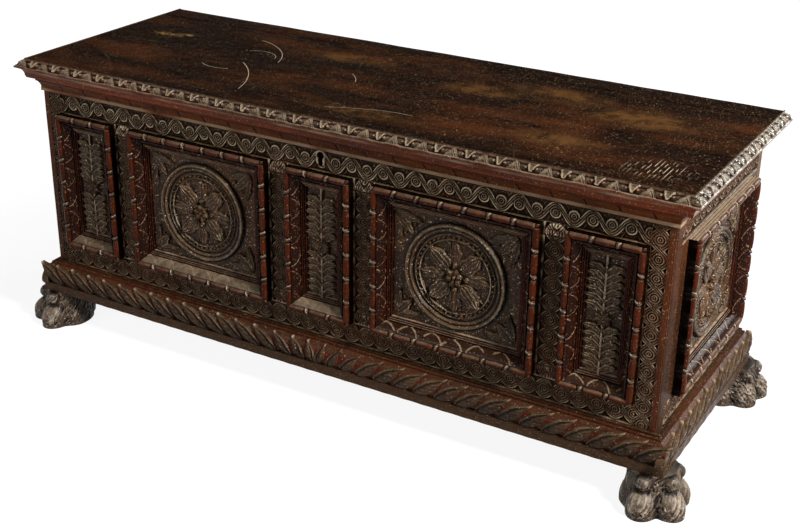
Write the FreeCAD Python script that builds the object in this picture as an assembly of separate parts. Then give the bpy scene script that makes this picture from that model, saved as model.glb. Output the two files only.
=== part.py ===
import FreeCAD, Part
import math
import os

# A carved walnut cassone: a long low chest on four paw feet, with a framed and panelled
# front and ends, a gadrooned base moulding and a hinged two-board lid.
# Millimetres. X runs along the front to the right, Y from front to back, Z up.
# The origin is on the floor under the middle of the chest.

Vec = FreeCAD.Vector
x_axis = Vec(1, 0, 0)
y_axis = Vec(0, 1, 0)
z_axis = Vec(0, 0, 1)

# Driving dimensions of the chest
body_length = 1400.0
body_depth = 474.0
body_height = 431.5
foot_height = 76.0
plinth_height = 70.0
frame_thickness = 28.0
back_thickness = 22.0
bottom_thickness = 18.0
cut_overrun = 5.0
joint_clearance = 0.2

# Layout of the front and the ends: the wide panels take what the rest leaves
narrow_panel_width = 146.0
muntin_gap = 48.0
stile_margin = 45.0
end_stile_margin = 33.0
panel_drop = 83.0
panel_lift = 47.5
arc_facets = 4

# Panels in their grooves
panel_thickness = 12.0
panel_recess = 6.0
groove_depth = 10.0

# Raised panel moulding
moulding_width = 39.0
moulding_lap = 24.0
moulding_rise = 22.0
bead_width = 12.0
bead_side = 16.0
quirk_width = 2.0
slope_width = 14.0
slope_top = 18.0
slope_bottom = 3.0
slope_bulge = 2.5
step_drop = 3.0

# Frame joints
tenon_thickness = 9.0
tenon_length = 34.0
tenon_shoulder = 13.0
tenon_setback = 9.5
stub_length = 14.0
back_tongue = 7.0
back_tongue_thickness = 8.0
back_board_split = 218.0

# Lid
lid_thickness = 28.0
lid_rest_gap = 0.5
lid_end_overhang = 25.0
lid_front_overhang = 17.5
lid_back_overhang = 21.5
lid_rear_board_width = 65.0
lid_tongue = 8.0
lid_tongue_thickness = 9.0

# Lid edge moulding
edge_projection = 18.0
edge_depth = 41.0
edge_lip = 10.0
edge_fillet = 2.0
edge_nose_drop = 15.0
edge_nose_height = 3.0
edge_neck_projection = 8.0
edge_neck_drop = 23.0
edge_cove_projection = 3.0
edge_cove_drop = 36.0
edge_foot_projection = 1.0

# Cornice
cornice_height = 27.5
cornice_gap = 0.5
cornice_projection = 10.0
cornice_fillet = 6.0
cornice_step = 2.0
cornice_lower_projection = 3.0
cornice_lower_fillet = 4.0

# Plinth moulding and its gadroons
plinth_projection = 31.0
plinth_ledge = 20.0
plinth_fillet_projection = 7.0
plinth_fillet_height = 4.0
plinth_step_projection = 13.0
plinth_step_height = 4.0
plinth_torus_drop = 12.0
plinth_torus_height = 38.0
plinth_torus_base = 22.0
plinth_lip_projection = 28.0
gadroon_pitch = 44.0
gadroon_depth = 8.0
gadroon_mouth = 13.0
gadroon_lean = 40.0

# Medallions and leaf ornament on the panels
relief_height = 7.0
ring_margin = 9.5
ring_width = 12.0
ring_bevel = 3.0
ring_sides = 32
rosette_leaves = 8
rosette_gap = 20.0
rosette_inner_radius = 14.0
rosette_width_share = 0.6
boss_radius = 12.0
boss_top_radius = 8.0
boss_sides = 8
spandrel_leaf_length = 46.0
spandrel_leaf_width = 24.0
spandrel_margin = 6.0
stem_width = 7.0
stem_margin = 8.0
spray_pairs = 5
spray_leaf_length = 30.0
spray_leaf_width = 15.0
spray_rise = 55.0
leaf_crown_share = 0.35
leaf_widest_share = 0.45
leaf_base_sink = 1.0

# Paw feet: the shares of a toe are its reach, half width, underside and height
ankle_top_radius = 44.0
ankle_waist_radius = 51.0
ankle_sole_radius = 58.0
ankle_waist_height = 46.0
ankle_sides = 12
foot_turn = 29.0
toe_spread = 64.0
toe_reach = 77.0
toe_half_width = 33.0
toe_height = 54.0
toe_reach_shares = (0.75, 1, 1, 0.9, 0.9)
foot_inset = 10.0
toe_shares = ((0.35, 0.8, 0, 0.97), (0.7, 1, 0, 1), (0.91, 0.88, 0, 0.77), (1, 0.5, 0.12, 0.48))
toe_arch_shares = ((-0.85, 0), (-1, 0.4), (-0.6, 0.86), (0, 1), (0.6, 0.86), (1, 0.4), (0.85, 0))
knob_radius = 13.5
knob_reach = 46.0
knob_drop = 14.0
knob_sides = 8
knob_shares = ((0.7, -0.8), (1, 0), (0.6, 0.85))
peg_side = 16.0
peg_depth = 26.0
peg_inset = 30.0
peg_offset = 5.0

# Hinges
strap_thickness = 3.0
strap_width = 34.0
strap_length = 230.0
strap_tip_width = 16.0
strap_inset = 330.0
leaf_height = 84.0
leaf_nail_shares = (0.35, 0.85)
strap_nail_shares = (0.14, 0.5, 0.88)
knuckle_radius = 6.5
pin_radius = 3.0
pin_clearance = 0.1
knuckle_gap = 0.4
middle_knuckle_width = 16.0
side_knuckle_width = 10.0
knuckle_drop = 0.6
pin_head_radius = 4.5
pin_head_height = 2.0

# Lock
keyhole_drop = 59.5
keyhole_height = 22.0
keyhole_round_radius = 4.5
keyhole_slot_width = 5.0
plate_clearance = 0.5
lock_plate_width = 130.0
lock_plate_height = 86.0
lock_plate_thickness = 2.0
lock_plate_drop = 10.0
case_width = 104.0
case_height = 64.0
case_depth = 28.0
case_wall = 2.0
bolt_width = 7.0
bolt_height = 9.0
bolt_length = 40.0
bolt_drop = 37.5
bolt_back = 8.0
bolt_clearance = 0.3
guide_width = 4.0
guide_wall = 3.0
guide_inset = 6.0
staple_gap = 13.0
staple_leg = 3.5
staple_width = 5.0
staple_bar_drop = 4.5
staple_bar_height = 5.0
staple_slot_clearance = 1.0
staple_plate_length = 46.0
staple_plate_width = 28.0
staple_plate_thickness = 2.5

# Square nails with four-faced heads
nail_side = 2.4
nail_length = 17.0
nail_head_side = 8.0
nail_head_crown_share = 0.4
nail_head_height = 1.8
back_nail_pitch = 86.0

# Heights and faces worked out from the sizes above
plinth_top = foot_height + plinth_height
rim_top = plinth_top + body_height
lid_bottom = rim_top + lid_rest_gap
lid_top = lid_bottom + lid_thickness
half_length = body_length / 2
half_depth = body_depth / 2
panel_top = rim_top - panel_drop
panel_bottom = plinth_top + panel_lift
panel_height = panel_top - panel_bottom
end_panel_width = (half_depth - frame_thickness - end_stile_margin) * 2
wide_panel_width = half_length - stile_margin - muntin_gap * 2 - narrow_panel_width * 3 / 2
opening_top = panel_top - moulding_lap
opening_bottom = panel_bottom + moulding_lap
inner_front = -half_depth + frame_thickness
inner_back = half_depth - back_thickness
lid_half = half_length + lid_end_overhang
lid_front = -half_depth - lid_front_overhang
lid_back = half_depth + lid_back_overhang
hinge_y = half_depth + knuckle_radius + plate_clearance
hinge_z = lid_bottom - knuckle_radius - knuckle_drop


def box(x0, x1, y0, y1, z0, z1):
    """A block between two corners."""
    return Part.makeBox(x1 - x0, y1 - y0, z1 - z0, Vec(x0, y0, z0))


def mirrored(shape):
    """The same shape on the other side of the middle of the chest."""
    return shape.mirror(Vec(0, 0, 0), x_axis)


def outline_wire(outline, place):
    """A closed wire from outline points; a point pair (through, end) makes a faceted arc."""
    edges = []
    start = place(*outline[0])
    for step in outline[1:] + outline[:1]:
        if isinstance(step[0], tuple):
            end = place(*step[1])
            arc = Part.Arc(start, place(*step[0]), end).toShape()
            corners = [start] + arc.discretize(arc_facets + 1)[1:-1] + [end]
        else:
            end = place(*step)
            corners = [start, end]
        edges.extend(Part.makeLine(low, high) for low, high in zip(corners, corners[1:]))
        start = end
    return Part.Wire(edges)


def faceted(rings):
    """A solid with flat faces between closed outlines that have equally many corners."""
    corner_sets = [rings[0], rings[-1]]
    for low, high in zip(rings, rings[1:]):
        for i in range(len(low)):
            corner_sets.append([low[i - 1], low[i], high[i]])
            corner_sets.append([low[i - 1], high[i], high[i - 1]])
    faces = [Part.Face(Part.makePolygon(corners + corners[:1])) for corners in corner_sets]
    solid = Part.Solid(Part.Shell(faces))
    if solid.Volume < 0:
        solid.reverse()
    return solid.removeSplitter()


def level_polygon(radius, height, sides):
    """The corners of a level polygon about the upright axis."""
    turn = 2 * math.pi / sides
    return [Vec(radius * math.cos(turn * (i + 1 / 2)), radius * math.sin(turn * (i + 1 / 2)), height)
            for i in range(sides)]


def stick(outline, start, end, start_lean, end_lean):
    """A straight moulding along X, its section in Y and Z, cut at each end by an upright
    plane that moves along X by its lean for every unit of Y."""
    section = Part.Face(outline_wire(outline, lambda u, h: Vec(start, u, h)))
    bounds = section.BoundBox
    reach = max(abs(bounds.YMin), abs(bounds.YMax)) + cut_overrun
    section.translate(Vec(-reach, 0, 0))
    blank = section.extrude(Vec(end - start + reach * 2, 0, 0))
    low = bounds.YMin - cut_overrun
    high = bounds.YMax + cut_overrun
    bottom = bounds.ZMin - cut_overrun
    corners = [Vec(start + start_lean * low, low, bottom), Vec(end + end_lean * low, low, bottom),
               Vec(end + end_lean * high, high, bottom), Vec(start + start_lean * high, high, bottom)]
    plan = Part.Face(Part.makePolygon(corners + corners[:1]))
    return blank.common(plan.extrude(Vec(0, 0, bounds.ZLength + cut_overrun * 2)))


def along_front(shape, y, z):
    """Lays a stick with its section outward along the front, at a depth and a height."""
    placed = shape.copy()
    placed.rotate(Vec(0, 0, 0), z_axis, 180)
    placed.translate(Vec(0, y, z))
    return placed


def along_right(shape, x, z):
    """Lays a stick with its section outward along the right end."""
    placed = shape.copy()
    placed.rotate(Vec(0, 0, 0), z_axis, -90)
    placed.translate(Vec(x, 0, z))
    return placed


def on_right_end(shape):
    """Stands a part that was drawn on a front-like plane against the right end."""
    turned = shape.copy()
    turned.rotate(Vec(0, 0, 0), z_axis, 90)
    turned.translate(Vec(half_length, 0, 0))
    return turned


def on_front(shape):
    """Moves a part from the drawing plane to the face of the front."""
    moved = shape.copy()
    moved.translate(Vec(0, -half_depth, 0))
    return moved


# Frames: drawn on the plane y = 0 with the face outward and the thickness behind it.

def front_openings():
    """Left and right edges of the mouldings round the five front panels."""
    widths = [narrow_panel_width, wide_panel_width, narrow_panel_width,
              wide_panel_width, narrow_panel_width]
    left = -(sum(widths) + muntin_gap * (len(widths) - 1)) / 2
    spans = []
    for width in widths:
        spans.append((left, left + width))
        left = left + width + muntin_gap
    return spans


def panel_slot(span):
    """The space that a panel takes in its frame, grooves included."""
    left = span[0] + moulding_lap - groove_depth
    right = span[1] - moulding_lap + groove_depth
    return box(left, right, panel_recess, panel_recess + panel_thickness,
               opening_bottom - groove_depth, opening_top + groove_depth)


def rail_with_tenons(x0, x1, z0, z1):
    """A horizontal member with a tenon at each end."""
    rail = box(x0, x1, 0, frame_thickness, z0, z1)
    return rail.fuse(rail_tenons(x0, x1, z0, z1, 0)).removeSplitter()


def rail_tenons(x0, x1, z0, z1, extra):
    """The tenon volume of a rail, lengthened by extra for its mortises."""
    return box(x0 - tenon_length - extra, x1 + tenon_length + extra,
               tenon_setback, tenon_setback + tenon_thickness,
               z0 + tenon_shoulder, z1 - tenon_shoulder)


def muntin_blank(x0, x1):
    """An upright member between the rails, with a stub tenon at each end."""
    return box(x0, x1, 0, frame_thickness, opening_bottom, opening_top).fuse(
        muntin_tenons(x0, x1, 0)).removeSplitter()


def muntin_tenons(x0, x1, extra):
    """The stub tenons of a muntin, lengthened by extra for their mortises."""
    return box(x0 + tenon_shoulder, x1 - tenon_shoulder,
               tenon_setback, tenon_setback + tenon_thickness,
               opening_bottom - stub_length - extra, opening_top + stub_length + extra)


def framed_wall(spans, x0, x1):
    """Rails, stiles and muntins of a panelled wall, with their joints and grooves."""
    sights = [(span[0] + moulding_lap, span[1] - moulding_lap) for span in spans]
    first = sights[0][0]
    last = sights[-1][1]
    upright_gaps = [(sights[i][1], sights[i + 1][0]) for i in range(len(sights) - 1)]
    stiles = [box(x0, first, 0, frame_thickness, plinth_top, rim_top),
              box(last, x1, 0, frame_thickness, plinth_top, rim_top)]
    top = rail_with_tenons(first, last, opening_top, rim_top)
    bottom = rail_with_tenons(first, last, plinth_top, opening_bottom)
    muntins = [muntin_blank(gap[0], gap[1]) for gap in upright_gaps]
    mortises = [rail_tenons(first, last, opening_top, rim_top, joint_clearance),
                rail_tenons(first, last, plinth_top, opening_bottom, joint_clearance)]
    stubs = [muntin_tenons(gap[0], gap[1], joint_clearance) for gap in upright_gaps]
    slots = [panel_slot(span) for span in spans]
    grooves = Part.makeCompound(slots)
    stiles = [stile.cut(mortises[0]).cut(mortises[1]).cut(grooves) for stile in stiles]
    for stub in stubs:
        top = top.cut(stub)
        bottom = bottom.cut(stub)
    return {"stiles": stiles, "top": top.cut(grooves), "bottom": bottom.cut(grooves),
            "muntins": [muntin.cut(grooves) for muntin in muntins]}


# Raised mouldings round the panels

def moulding_outline():
    """Section of the moulding: distance in from its outer edge, height off the frame."""
    slope_start = bead_width + quirk_width
    slope_end = slope_start + slope_width
    step = (moulding_width - slope_end) / 2
    slope_middle = ((slope_start + slope_end + slope_bulge) / 2,
                    (slope_top + slope_bottom + slope_bulge) / 2)
    return [
        (0, 0),
        (0, bead_side),
        ((bead_width / 2, moulding_rise), (bead_width, bead_side)),
        (slope_start, bead_side),
        (slope_start, slope_top),
        (slope_middle, (slope_end, slope_bottom)),
        (slope_end, slope_bottom - step_drop),
        (slope_end + step, slope_bottom - step_drop),
        (slope_end + step, slope_bottom - step_drop * 2),
        (moulding_width, slope_bottom - step_drop * 2),
        (moulding_width, -panel_recess),
        (moulding_lap + joint_clearance, -panel_recess),
        (moulding_lap + joint_clearance, 0),
    ]


def moulding_frame(span):
    """Four mitred sticks round one panel, each a separate solid."""
    outline = moulding_outline()
    half_width = (span[1] - span[0]) / 2
    half_height = panel_height / 2
    centre = Vec((span[0] + span[1]) / 2, 0, (panel_top + panel_bottom) / 2)
    sticks = []
    for i in range(4):
        half_run, reach = ((half_width, half_height), (half_height, half_width))[i % 2]
        piece = stick(outline, -half_run, half_run, 1, -1)
        piece.rotate(Vec(0, 0, 0), x_axis, 90)
        piece.translate(Vec(0, 0, -reach))
        piece.rotate(Vec(0, 0, 0), y_axis, -90 * i)
        piece.translate(centre)
        sticks.append(piece)
    return Part.makeCompound(sticks)


# Carved panels

def carved_leaf(x, z, length, width, direction, face):
    """A faceted leaf on the plane y = face that points away from (x, z) in degrees."""
    angle = math.radians(direction)
    middle = length * leaf_widest_share

    def place(along, across, height):
        return Vec(x + along * math.cos(angle) - across * math.sin(angle), face - height,
                   z + along * math.sin(angle) + across * math.cos(angle))

    def kite(share, height):
        half = width / 2 * share
        return [place(middle - middle * share, 0, height), place(middle, half, height),
                place(middle + (length - middle) * share, 0, height),
                place(middle, -half, height)]

    return faceted([kite(1, -leaf_base_sink), kite(leaf_crown_share, relief_height)])


def level_ring(radius):
    """A bevelled ring that stands on the level plane."""
    inner = radius - ring_width
    bevel = ring_bevel / 2
    outside = faceted([level_polygon(radius, -leaf_base_sink, ring_sides),
                       level_polygon(radius - bevel, relief_height, ring_sides)])
    inside = faceted([level_polygon(inner - bevel, -leaf_base_sink * 2, ring_sides),
                      level_polygon(inner + bevel, relief_height + leaf_base_sink, ring_sides)])
    return outside.cut(inside)


def level_boss():
    """The boss in the middle of a rosette, on the level plane."""
    return faceted([level_polygon(boss_radius, -leaf_base_sink, boss_sides),
                    level_polygon(boss_top_radius, relief_height, boss_sides)])


def plain_panel(span):
    """A panel that fills its grooves."""
    left = span[0] + moulding_lap - groove_depth + joint_clearance
    right = span[1] - moulding_lap + groove_depth - joint_clearance
    return box(left, right, panel_recess, panel_recess + panel_thickness,
               opening_bottom - groove_depth + joint_clearance,
               opening_top + groove_depth - joint_clearance)


def medallion_panel(span):
    """A panel with a round medallion: a ring, a rosette and leaves in the corners."""
    x = (span[0] + span[1]) / 2
    z = (panel_top + panel_bottom) / 2
    face = panel_recess
    radius = min(span[1] - span[0], panel_height) / 2 - moulding_width - ring_margin
    leaf_length = radius - ring_width - rosette_gap - rosette_inner_radius
    pieces = []
    for i in range(rosette_leaves):
        direction = 360 / rosette_leaves * i
        angle = math.radians(direction)
        pieces.append(carved_leaf(x + rosette_inner_radius * math.cos(angle),
                                  z + rosette_inner_radius * math.sin(angle),
                                  leaf_length, leaf_length * rosette_width_share, direction, face))
    for round_piece in (level_ring(radius), level_boss()):
        round_piece.rotate(Vec(0, 0, 0), x_axis, 90)
        round_piece.translate(Vec(x, face, z))
        pieces.append(round_piece)
    reach_x = (span[1] - span[0]) / 2 - moulding_width - spandrel_margin
    reach_z = panel_height / 2 - moulding_width - spandrel_margin
    for side_x in (-1, 1):
        for side_z in (-1, 1):
            direction = math.degrees(math.atan2(-side_z, -side_x))
            pieces.append(carved_leaf(x + side_x * reach_x, z + side_z * reach_z,
                                      spandrel_leaf_length, spandrel_leaf_width,
                                      direction, face))
    return plain_panel(span).multiFuse(pieces)


def spray_panel(span):
    """A narrow panel with an upright stem and pairs of leaves."""
    x = (span[0] + span[1]) / 2
    face = panel_recess
    low = panel_bottom + moulding_width + stem_margin
    high = panel_top - moulding_width - stem_margin
    pieces = [box(x - stem_width / 2, x + stem_width / 2, face - relief_height / 2,
                  face + leaf_base_sink, low, high)]
    pitch = (high - low) / spray_pairs
    for i in range(spray_pairs):
        z = low + pitch * (i + 1 / 4)
        for side in (-1, 1):
            direction = 90 - side * (90 - spray_rise)
            pieces.append(carved_leaf(x + side * stem_width / 4, z, spray_leaf_length,
                                      spray_leaf_width, direction, face))
    return plain_panel(span).multiFuse(pieces)


# Plinth

def plinth_outline():
    """Section of the plinth: distance out from the body's face, height over its foot."""
    torus_top = plinth_height - plinth_torus_drop
    torus_bottom = torus_top - plinth_torus_height
    shelf = plinth_height - plinth_fillet_height
    return [
        (-frame_thickness - plinth_ledge, 0),
        (-frame_thickness - plinth_ledge, plinth_height),
        (plinth_fillet_projection, plinth_height),
        (plinth_fillet_projection, shelf),
        (plinth_step_projection, shelf),
        (plinth_step_projection, shelf - plinth_step_height),
        (plinth_torus_base, torus_top),
        ((plinth_projection, (torus_top + torus_bottom) / 2), (plinth_torus_base, torus_bottom)),
        (plinth_lip_projection, torus_bottom),
        (plinth_lip_projection, 0),
    ]


def gadroon_grooves(first, last, lean):
    """Slanting V grooves between the lobes, drawn on the plane y = 0."""
    middle_z = plinth_height - plinth_torus_drop - plinth_torus_height / 2
    count = int((last - first) / gadroon_pitch)
    pitch = (last - first) / count
    half_mouth = gadroon_mouth / 2
    tip = -(plinth_projection - gadroon_depth)
    mouth = -(plinth_projection + cut_overrun)
    reach = plinth_height
    grooves = []
    for i in range(count):
        x = first + pitch * (i + 1 / 2)
        corners = [Vec(x, tip, -reach), Vec(x + half_mouth, mouth, -reach),
                   Vec(x - half_mouth, mouth, -reach)]
        face = Part.Face(Part.makePolygon(corners + corners[:1]))
        groove = face.extrude(Vec(0, 0, reach * 2))
        groove.rotate(Vec(x, 0, 0), y_axis, lean)
        groove.translate(Vec(0, 0, middle_z))
        grooves.append(groove)
    keep = box(first, last, mouth, tip + gadroon_depth, plinth_lip_clear(), plinth_fillets_clear())
    return Part.makeCompound(grooves).common(keep)


def plinth_lip_clear():
    """Height under which the plinth's lip stays uncut."""
    return plinth_height - plinth_torus_drop - plinth_torus_height


def plinth_fillets_clear():
    """Height over which the plinth's fillets stay uncut."""
    return plinth_height - plinth_torus_drop


def plinth_front():
    """The front base moulding, its lobes leaning away from the middle."""
    length_end = half_length + plinth_projection
    piece = along_front(stick(plinth_outline(), -half_length, half_length, -1, 1),
                        -half_depth, foot_height)
    left = gadroon_grooves(-length_end, 0, -gadroon_lean)
    right = gadroon_grooves(0, length_end, gadroon_lean)
    for half in (left, right):
        half.translate(Vec(0, -half_depth, foot_height))
        piece = piece.cut(half)
    return piece


def plinth_right():
    """The right base moulding, mitred in front and cut square behind."""
    piece = along_right(stick(plinth_outline(), -half_depth, half_depth, 0, 1),
                        half_length, foot_height)
    grooves = gadroon_grooves(-half_depth - plinth_projection, half_depth, gadroon_lean)
    grooves.translate(Vec(0, 0, foot_height))
    return piece.cut(on_right_end(grooves))


def plinth_back():
    """The plain back member between the side mouldings."""
    reach = half_length - frame_thickness - plinth_ledge
    return box(-reach, reach, half_depth - frame_thickness - plinth_ledge, half_depth,
               foot_height, plinth_top)


# Lid

def edge_outline():
    """Section of the lid's edge: distance out from the boards, height from the top."""
    nose = edge_projection
    return [
        (0, 0),
        (edge_fillet, 0),
        (edge_fillet, -edge_fillet),
        ((nose * 2 / 3, -edge_nose_drop / 3 - edge_fillet / 2), (nose, -edge_nose_drop)),
        (nose, -edge_nose_drop - edge_nose_height),
        (edge_neck_projection, -edge_neck_drop),
        ((edge_cove_projection + edge_fillet / 2, -(edge_neck_drop + edge_cove_drop) / 2),
         (edge_cove_projection, -edge_cove_drop)),
        (edge_foot_projection, -edge_depth),
        (-edge_lip, -edge_depth),
        (-edge_lip, -lid_thickness),
        (0, -lid_thickness),
    ]


def lid_edge_front():
    """The front edge moulding, mitred at both ends."""
    return along_front(stick(edge_outline(), -lid_half, lid_half, -1, 1), lid_front, lid_top)


def lid_edge_right():
    """The right edge moulding, mitred in front and cut square behind."""
    return along_right(stick(edge_outline(), -lid_back, -lid_front, 0, 1), lid_half, lid_top)


def lid_boards():
    """The wide front board with a groove and the narrow rear board with a tongue."""
    seam = lid_back - lid_rear_board_width
    middle = lid_bottom + lid_thickness / 2
    half_tongue = lid_tongue_thickness / 2
    front = box(-lid_half, lid_half, lid_front, seam, lid_bottom, lid_top)
    rear = box(-lid_half, lid_half, seam, lid_back, lid_bottom, lid_top)
    groove = box(-lid_half, lid_half, seam - lid_tongue, seam, middle - half_tongue,
                 middle + half_tongue)
    tongue = box(-lid_half, lid_half, seam - lid_tongue + joint_clearance, seam,
                 middle - half_tongue, middle + half_tongue)
    return front.cut(groove), rear.fuse(tongue).removeSplitter()


def cornice_front():
    """The moulding under the lid's front edge, with its ends returned to the body."""
    fillet_low = cornice_height - cornice_fillet
    cyma_top = fillet_low
    cyma_bottom = cornice_lower_fillet
    outer = cornice_projection - cornice_step
    middle_out = (outer + cornice_lower_projection) / 2
    middle_height = (cyma_top + cyma_bottom) / 2
    outline = [
        (0, 0),
        (0, cornice_height),
        (cornice_projection, cornice_height),
        (cornice_projection, fillet_low),
        (outer, fillet_low),
        ((middle_out + cornice_step, middle_height - cornice_step), (cornice_lower_projection,
                                                                     cyma_bottom)),
        (cornice_lower_projection, 0),
    ]
    base = lid_top - edge_depth - cornice_gap - cornice_height
    front = along_front(stick(outline, -half_length, half_length, -1, 1), -half_depth, base)
    right = along_right(stick(outline, -inner_front, half_depth, 0, 1), half_length, base)
    return Part.makeCompound([front, right, mirrored(right)])


# Feet

def toe(direction, reach):
    """One toe of a paw: upright arched sections from the ankle to the rounded tip."""
    sections = []
    for out, width, underside, height in toe_shares:
        low = toe_height * underside
        rise = toe_height * height - low
        sections.append([Vec(reach * out, toe_half_width * width * across, low + rise * up)
                         for across, up in toe_arch_shares])
    shape = faceted(sections)
    shape.rotate(Vec(0, 0, 0), z_axis, direction)
    return shape


def toe_knob(direction, reach):
    """The round knob over a toe."""
    middle = foot_height - knob_drop
    levels = [level_polygon(knob_radius * out, middle + knob_radius * up, knob_sides)
              for out, up in knob_shares]
    shape = faceted(levels)
    shape.translate(Vec(reach, 0, 0))
    shape.rotate(Vec(0, 0, 0), z_axis, direction)
    return shape


def paw_foot():
    """A lion's paw with its toes spread about +X, a knob over each, and a plain heel."""
    ankle = faceted([level_polygon(ankle_sole_radius, 0, ankle_sides),
                     level_polygon(ankle_waist_radius, ankle_waist_height, ankle_sides),
                     level_polygon(ankle_top_radius, foot_height, ankle_sides)])
    pieces = []
    for i, share in enumerate(toe_reach_shares):
        direction = toe_spread * (i - (len(toe_reach_shares) - 1) / 2)
        pieces.append(toe(direction, toe_reach * share))
        pieces.append(toe_knob(direction, knob_reach * share))
    return ankle.multiFuse(pieces).removeSplitter()


def feet():
    """The four feet, each a mirror of its neighbours."""
    front_right = paw_foot()
    front_right.rotate(Vec(0, 0, 0), z_axis, -foot_turn)
    front_right.translate(Vec(half_length, -half_depth + foot_inset, 0))
    rear_right = front_right.mirror(Vec(0, 0, 0), y_axis)
    return {"foot_front_right": front_right, "foot_front_left": mirrored(front_right),
            "foot_rear_right": rear_right, "foot_rear_left": mirrored(rear_right)}


def foot_pegs():
    """The square peg of each foot: beside the mitre in front, in the end's plinth behind."""
    half = peg_side / 2
    pegs = []
    for end, inset_x, inset_y in ((-1, peg_inset, peg_offset), (1, peg_offset, peg_inset)):
        x = half_length - inset_x
        y = end * (half_depth - inset_y)
        peg = box(x - half, x + half, y - half, y + half, foot_height - peg_depth,
                  foot_height + peg_depth)
        pegs.extend([peg, mirrored(peg)])
    return pegs


# Hinges

def knuckle(x0, x1):
    """A bored hinge knuckle on the hinge's axis."""
    outer = Part.makeCylinder(knuckle_radius, x1 - x0, Vec(x0, hinge_y, hinge_z), x_axis)
    bore = Part.makeCylinder(pin_radius + pin_clearance, x1 - x0, Vec(x0, hinge_y, hinge_z), x_axis)
    return outer, bore


def knuckle_spans():
    """X spans of the middle knuckle and of the two beside it, about the strap's middle."""
    half_middle = middle_knuckle_width / 2
    inner = half_middle + knuckle_gap
    outer = inner + side_knuckle_width
    return (-half_middle, half_middle), (-outer, -inner), (inner, outer)


def chest_leaf():
    """The leaf on the outer face of the back, with two knuckles."""
    left, right = knuckle_spans()[1:]
    plate = box(left[0], right[1], half_depth, half_depth + strap_thickness,
                hinge_z - leaf_height, hinge_z)
    notch = box(left[1], right[0], half_depth, half_depth + strap_thickness,
                hinge_z - knuckle_radius - knuckle_gap, hinge_z)
    leaf = plate.cut(notch)
    for span in (left, right):
        outer, bore = knuckle(span[0], span[1])
        leaf = leaf.fuse(outer).cut(bore)
    return leaf.removeSplitter()


def lid_strap():
    """The long tapering strap under the lid, with the middle knuckle."""
    middle = knuckle_spans()[0]
    half = strap_width / 2
    half_tip = strap_tip_width / 2
    half_middle = middle_knuckle_width / 2
    root = inner_back - plate_clearance
    end = root - strap_length
    shoulder = half_depth - plate_clearance
    low = lid_bottom - strap_thickness
    points = [Vec(-half_middle, hinge_y, low), Vec(half_middle, hinge_y, low),
              Vec(half_middle, shoulder, low), Vec(half, shoulder, low), Vec(half, root, low),
              Vec(half_tip, end, low), Vec(0, end - half, low), Vec(-half_tip, end, low),
              Vec(-half, root, low), Vec(-half, shoulder, low), Vec(-half_middle, shoulder, low)]
    plate = Part.Face(Part.makePolygon(points + points[:1])).extrude(Vec(0, 0, strap_thickness))
    outer, bore = knuckle(middle[0], middle[1])
    return plate.fuse(outer).cut(bore).removeSplitter()


def hinge_pin():
    """The pin with a head at each end."""
    reach = knuckle_spans()[2][1] + knuckle_gap
    shank = Part.makeCylinder(pin_radius, reach * 2, Vec(-reach, hinge_y, hinge_z), x_axis)
    heads = [Part.makeCylinder(pin_head_radius, pin_head_height, Vec(reach, hinge_y, hinge_z), x_axis),
             Part.makeCylinder(pin_head_radius, pin_head_height,
                               Vec(-reach - pin_head_height, hinge_y, hinge_z), x_axis)]
    return shank.multiFuse(heads)


def strap_notch():
    """The notch for the strap in the back's top edge."""
    half = strap_width / 2 + plate_clearance
    return box(-half, half, inner_back - cut_overrun, half_depth + cut_overrun,
               lid_bottom - strap_thickness - lid_rest_gap, rim_top + cut_overrun)


# Lock

keyhole_z = rim_top - keyhole_drop
case_face = inner_front + lock_plate_thickness
bolt_z = rim_top - bolt_drop
bolt_y = case_face + (case_depth - case_wall) / 2


def keyhole(extra):
    """The keyhole as a cutter: a round top over a slot."""
    centre_z = keyhole_z + keyhole_height / 2 - keyhole_round_radius
    depth = frame_thickness + cut_overrun * 2
    start = -half_depth - cut_overrun
    hole = Part.makeCylinder(keyhole_round_radius + extra, depth, Vec(0, start, centre_z),
                             y_axis)
    half = keyhole_slot_width / 2 + extra
    slot = box(-half, half, start, start + depth, keyhole_z - keyhole_height / 2 - extra, centre_z)
    return hole.fuse(slot)


def lock_plate():
    """The plate behind the keyhole with two guides for the bolt."""
    half = lock_plate_width / 2
    top = rim_top - lock_plate_drop
    plate = box(-half, half, inner_front, case_face, top - lock_plate_height, top)
    plate = plate.cut(keyhole(plate_clearance))
    room = bolt_body(bolt_clearance)
    for x in (-bolt_back - guide_inset - guide_width, -bolt_back - bolt_length + guide_inset):
        guide = box(x, x + guide_width, case_face, bolt_y + bolt_width / 2 + guide_wall,
                    bolt_z - bolt_height / 2 - guide_wall, bolt_z + bolt_height / 2 + guide_wall)
        plate = plate.fuse(guide)
    return plate.cut(room).removeSplitter()


def bolt_body(extra):
    """The bolt's bar, or with extra the room that it slides in."""
    return box(-bolt_back - bolt_length - extra, -bolt_back + extra,
               bolt_y - bolt_width / 2 - extra, bolt_y + bolt_width / 2 + extra,
               bolt_z - bolt_height / 2 - extra, bolt_z + bolt_height / 2 + extra)


def lock_case():
    """The box over the bolt, open towards the plate and slotted for the staple."""
    half = case_width / 2
    top = bolt_z + case_height / 4
    outer = box(-half, half, case_face, case_face + case_depth, top - case_height, top)
    inner = box(-half + case_wall, half - case_wall, case_face, case_face + case_depth - case_wall,
                top - case_height + case_wall, top - case_wall)
    slot_half = staple_width / 2 + staple_slot_clearance
    slot = box(-slot_half, slot_half, case_face, case_face + case_depth - case_wall,
               top - case_wall, top)
    return outer.cut(inner).cut(slot)


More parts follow.
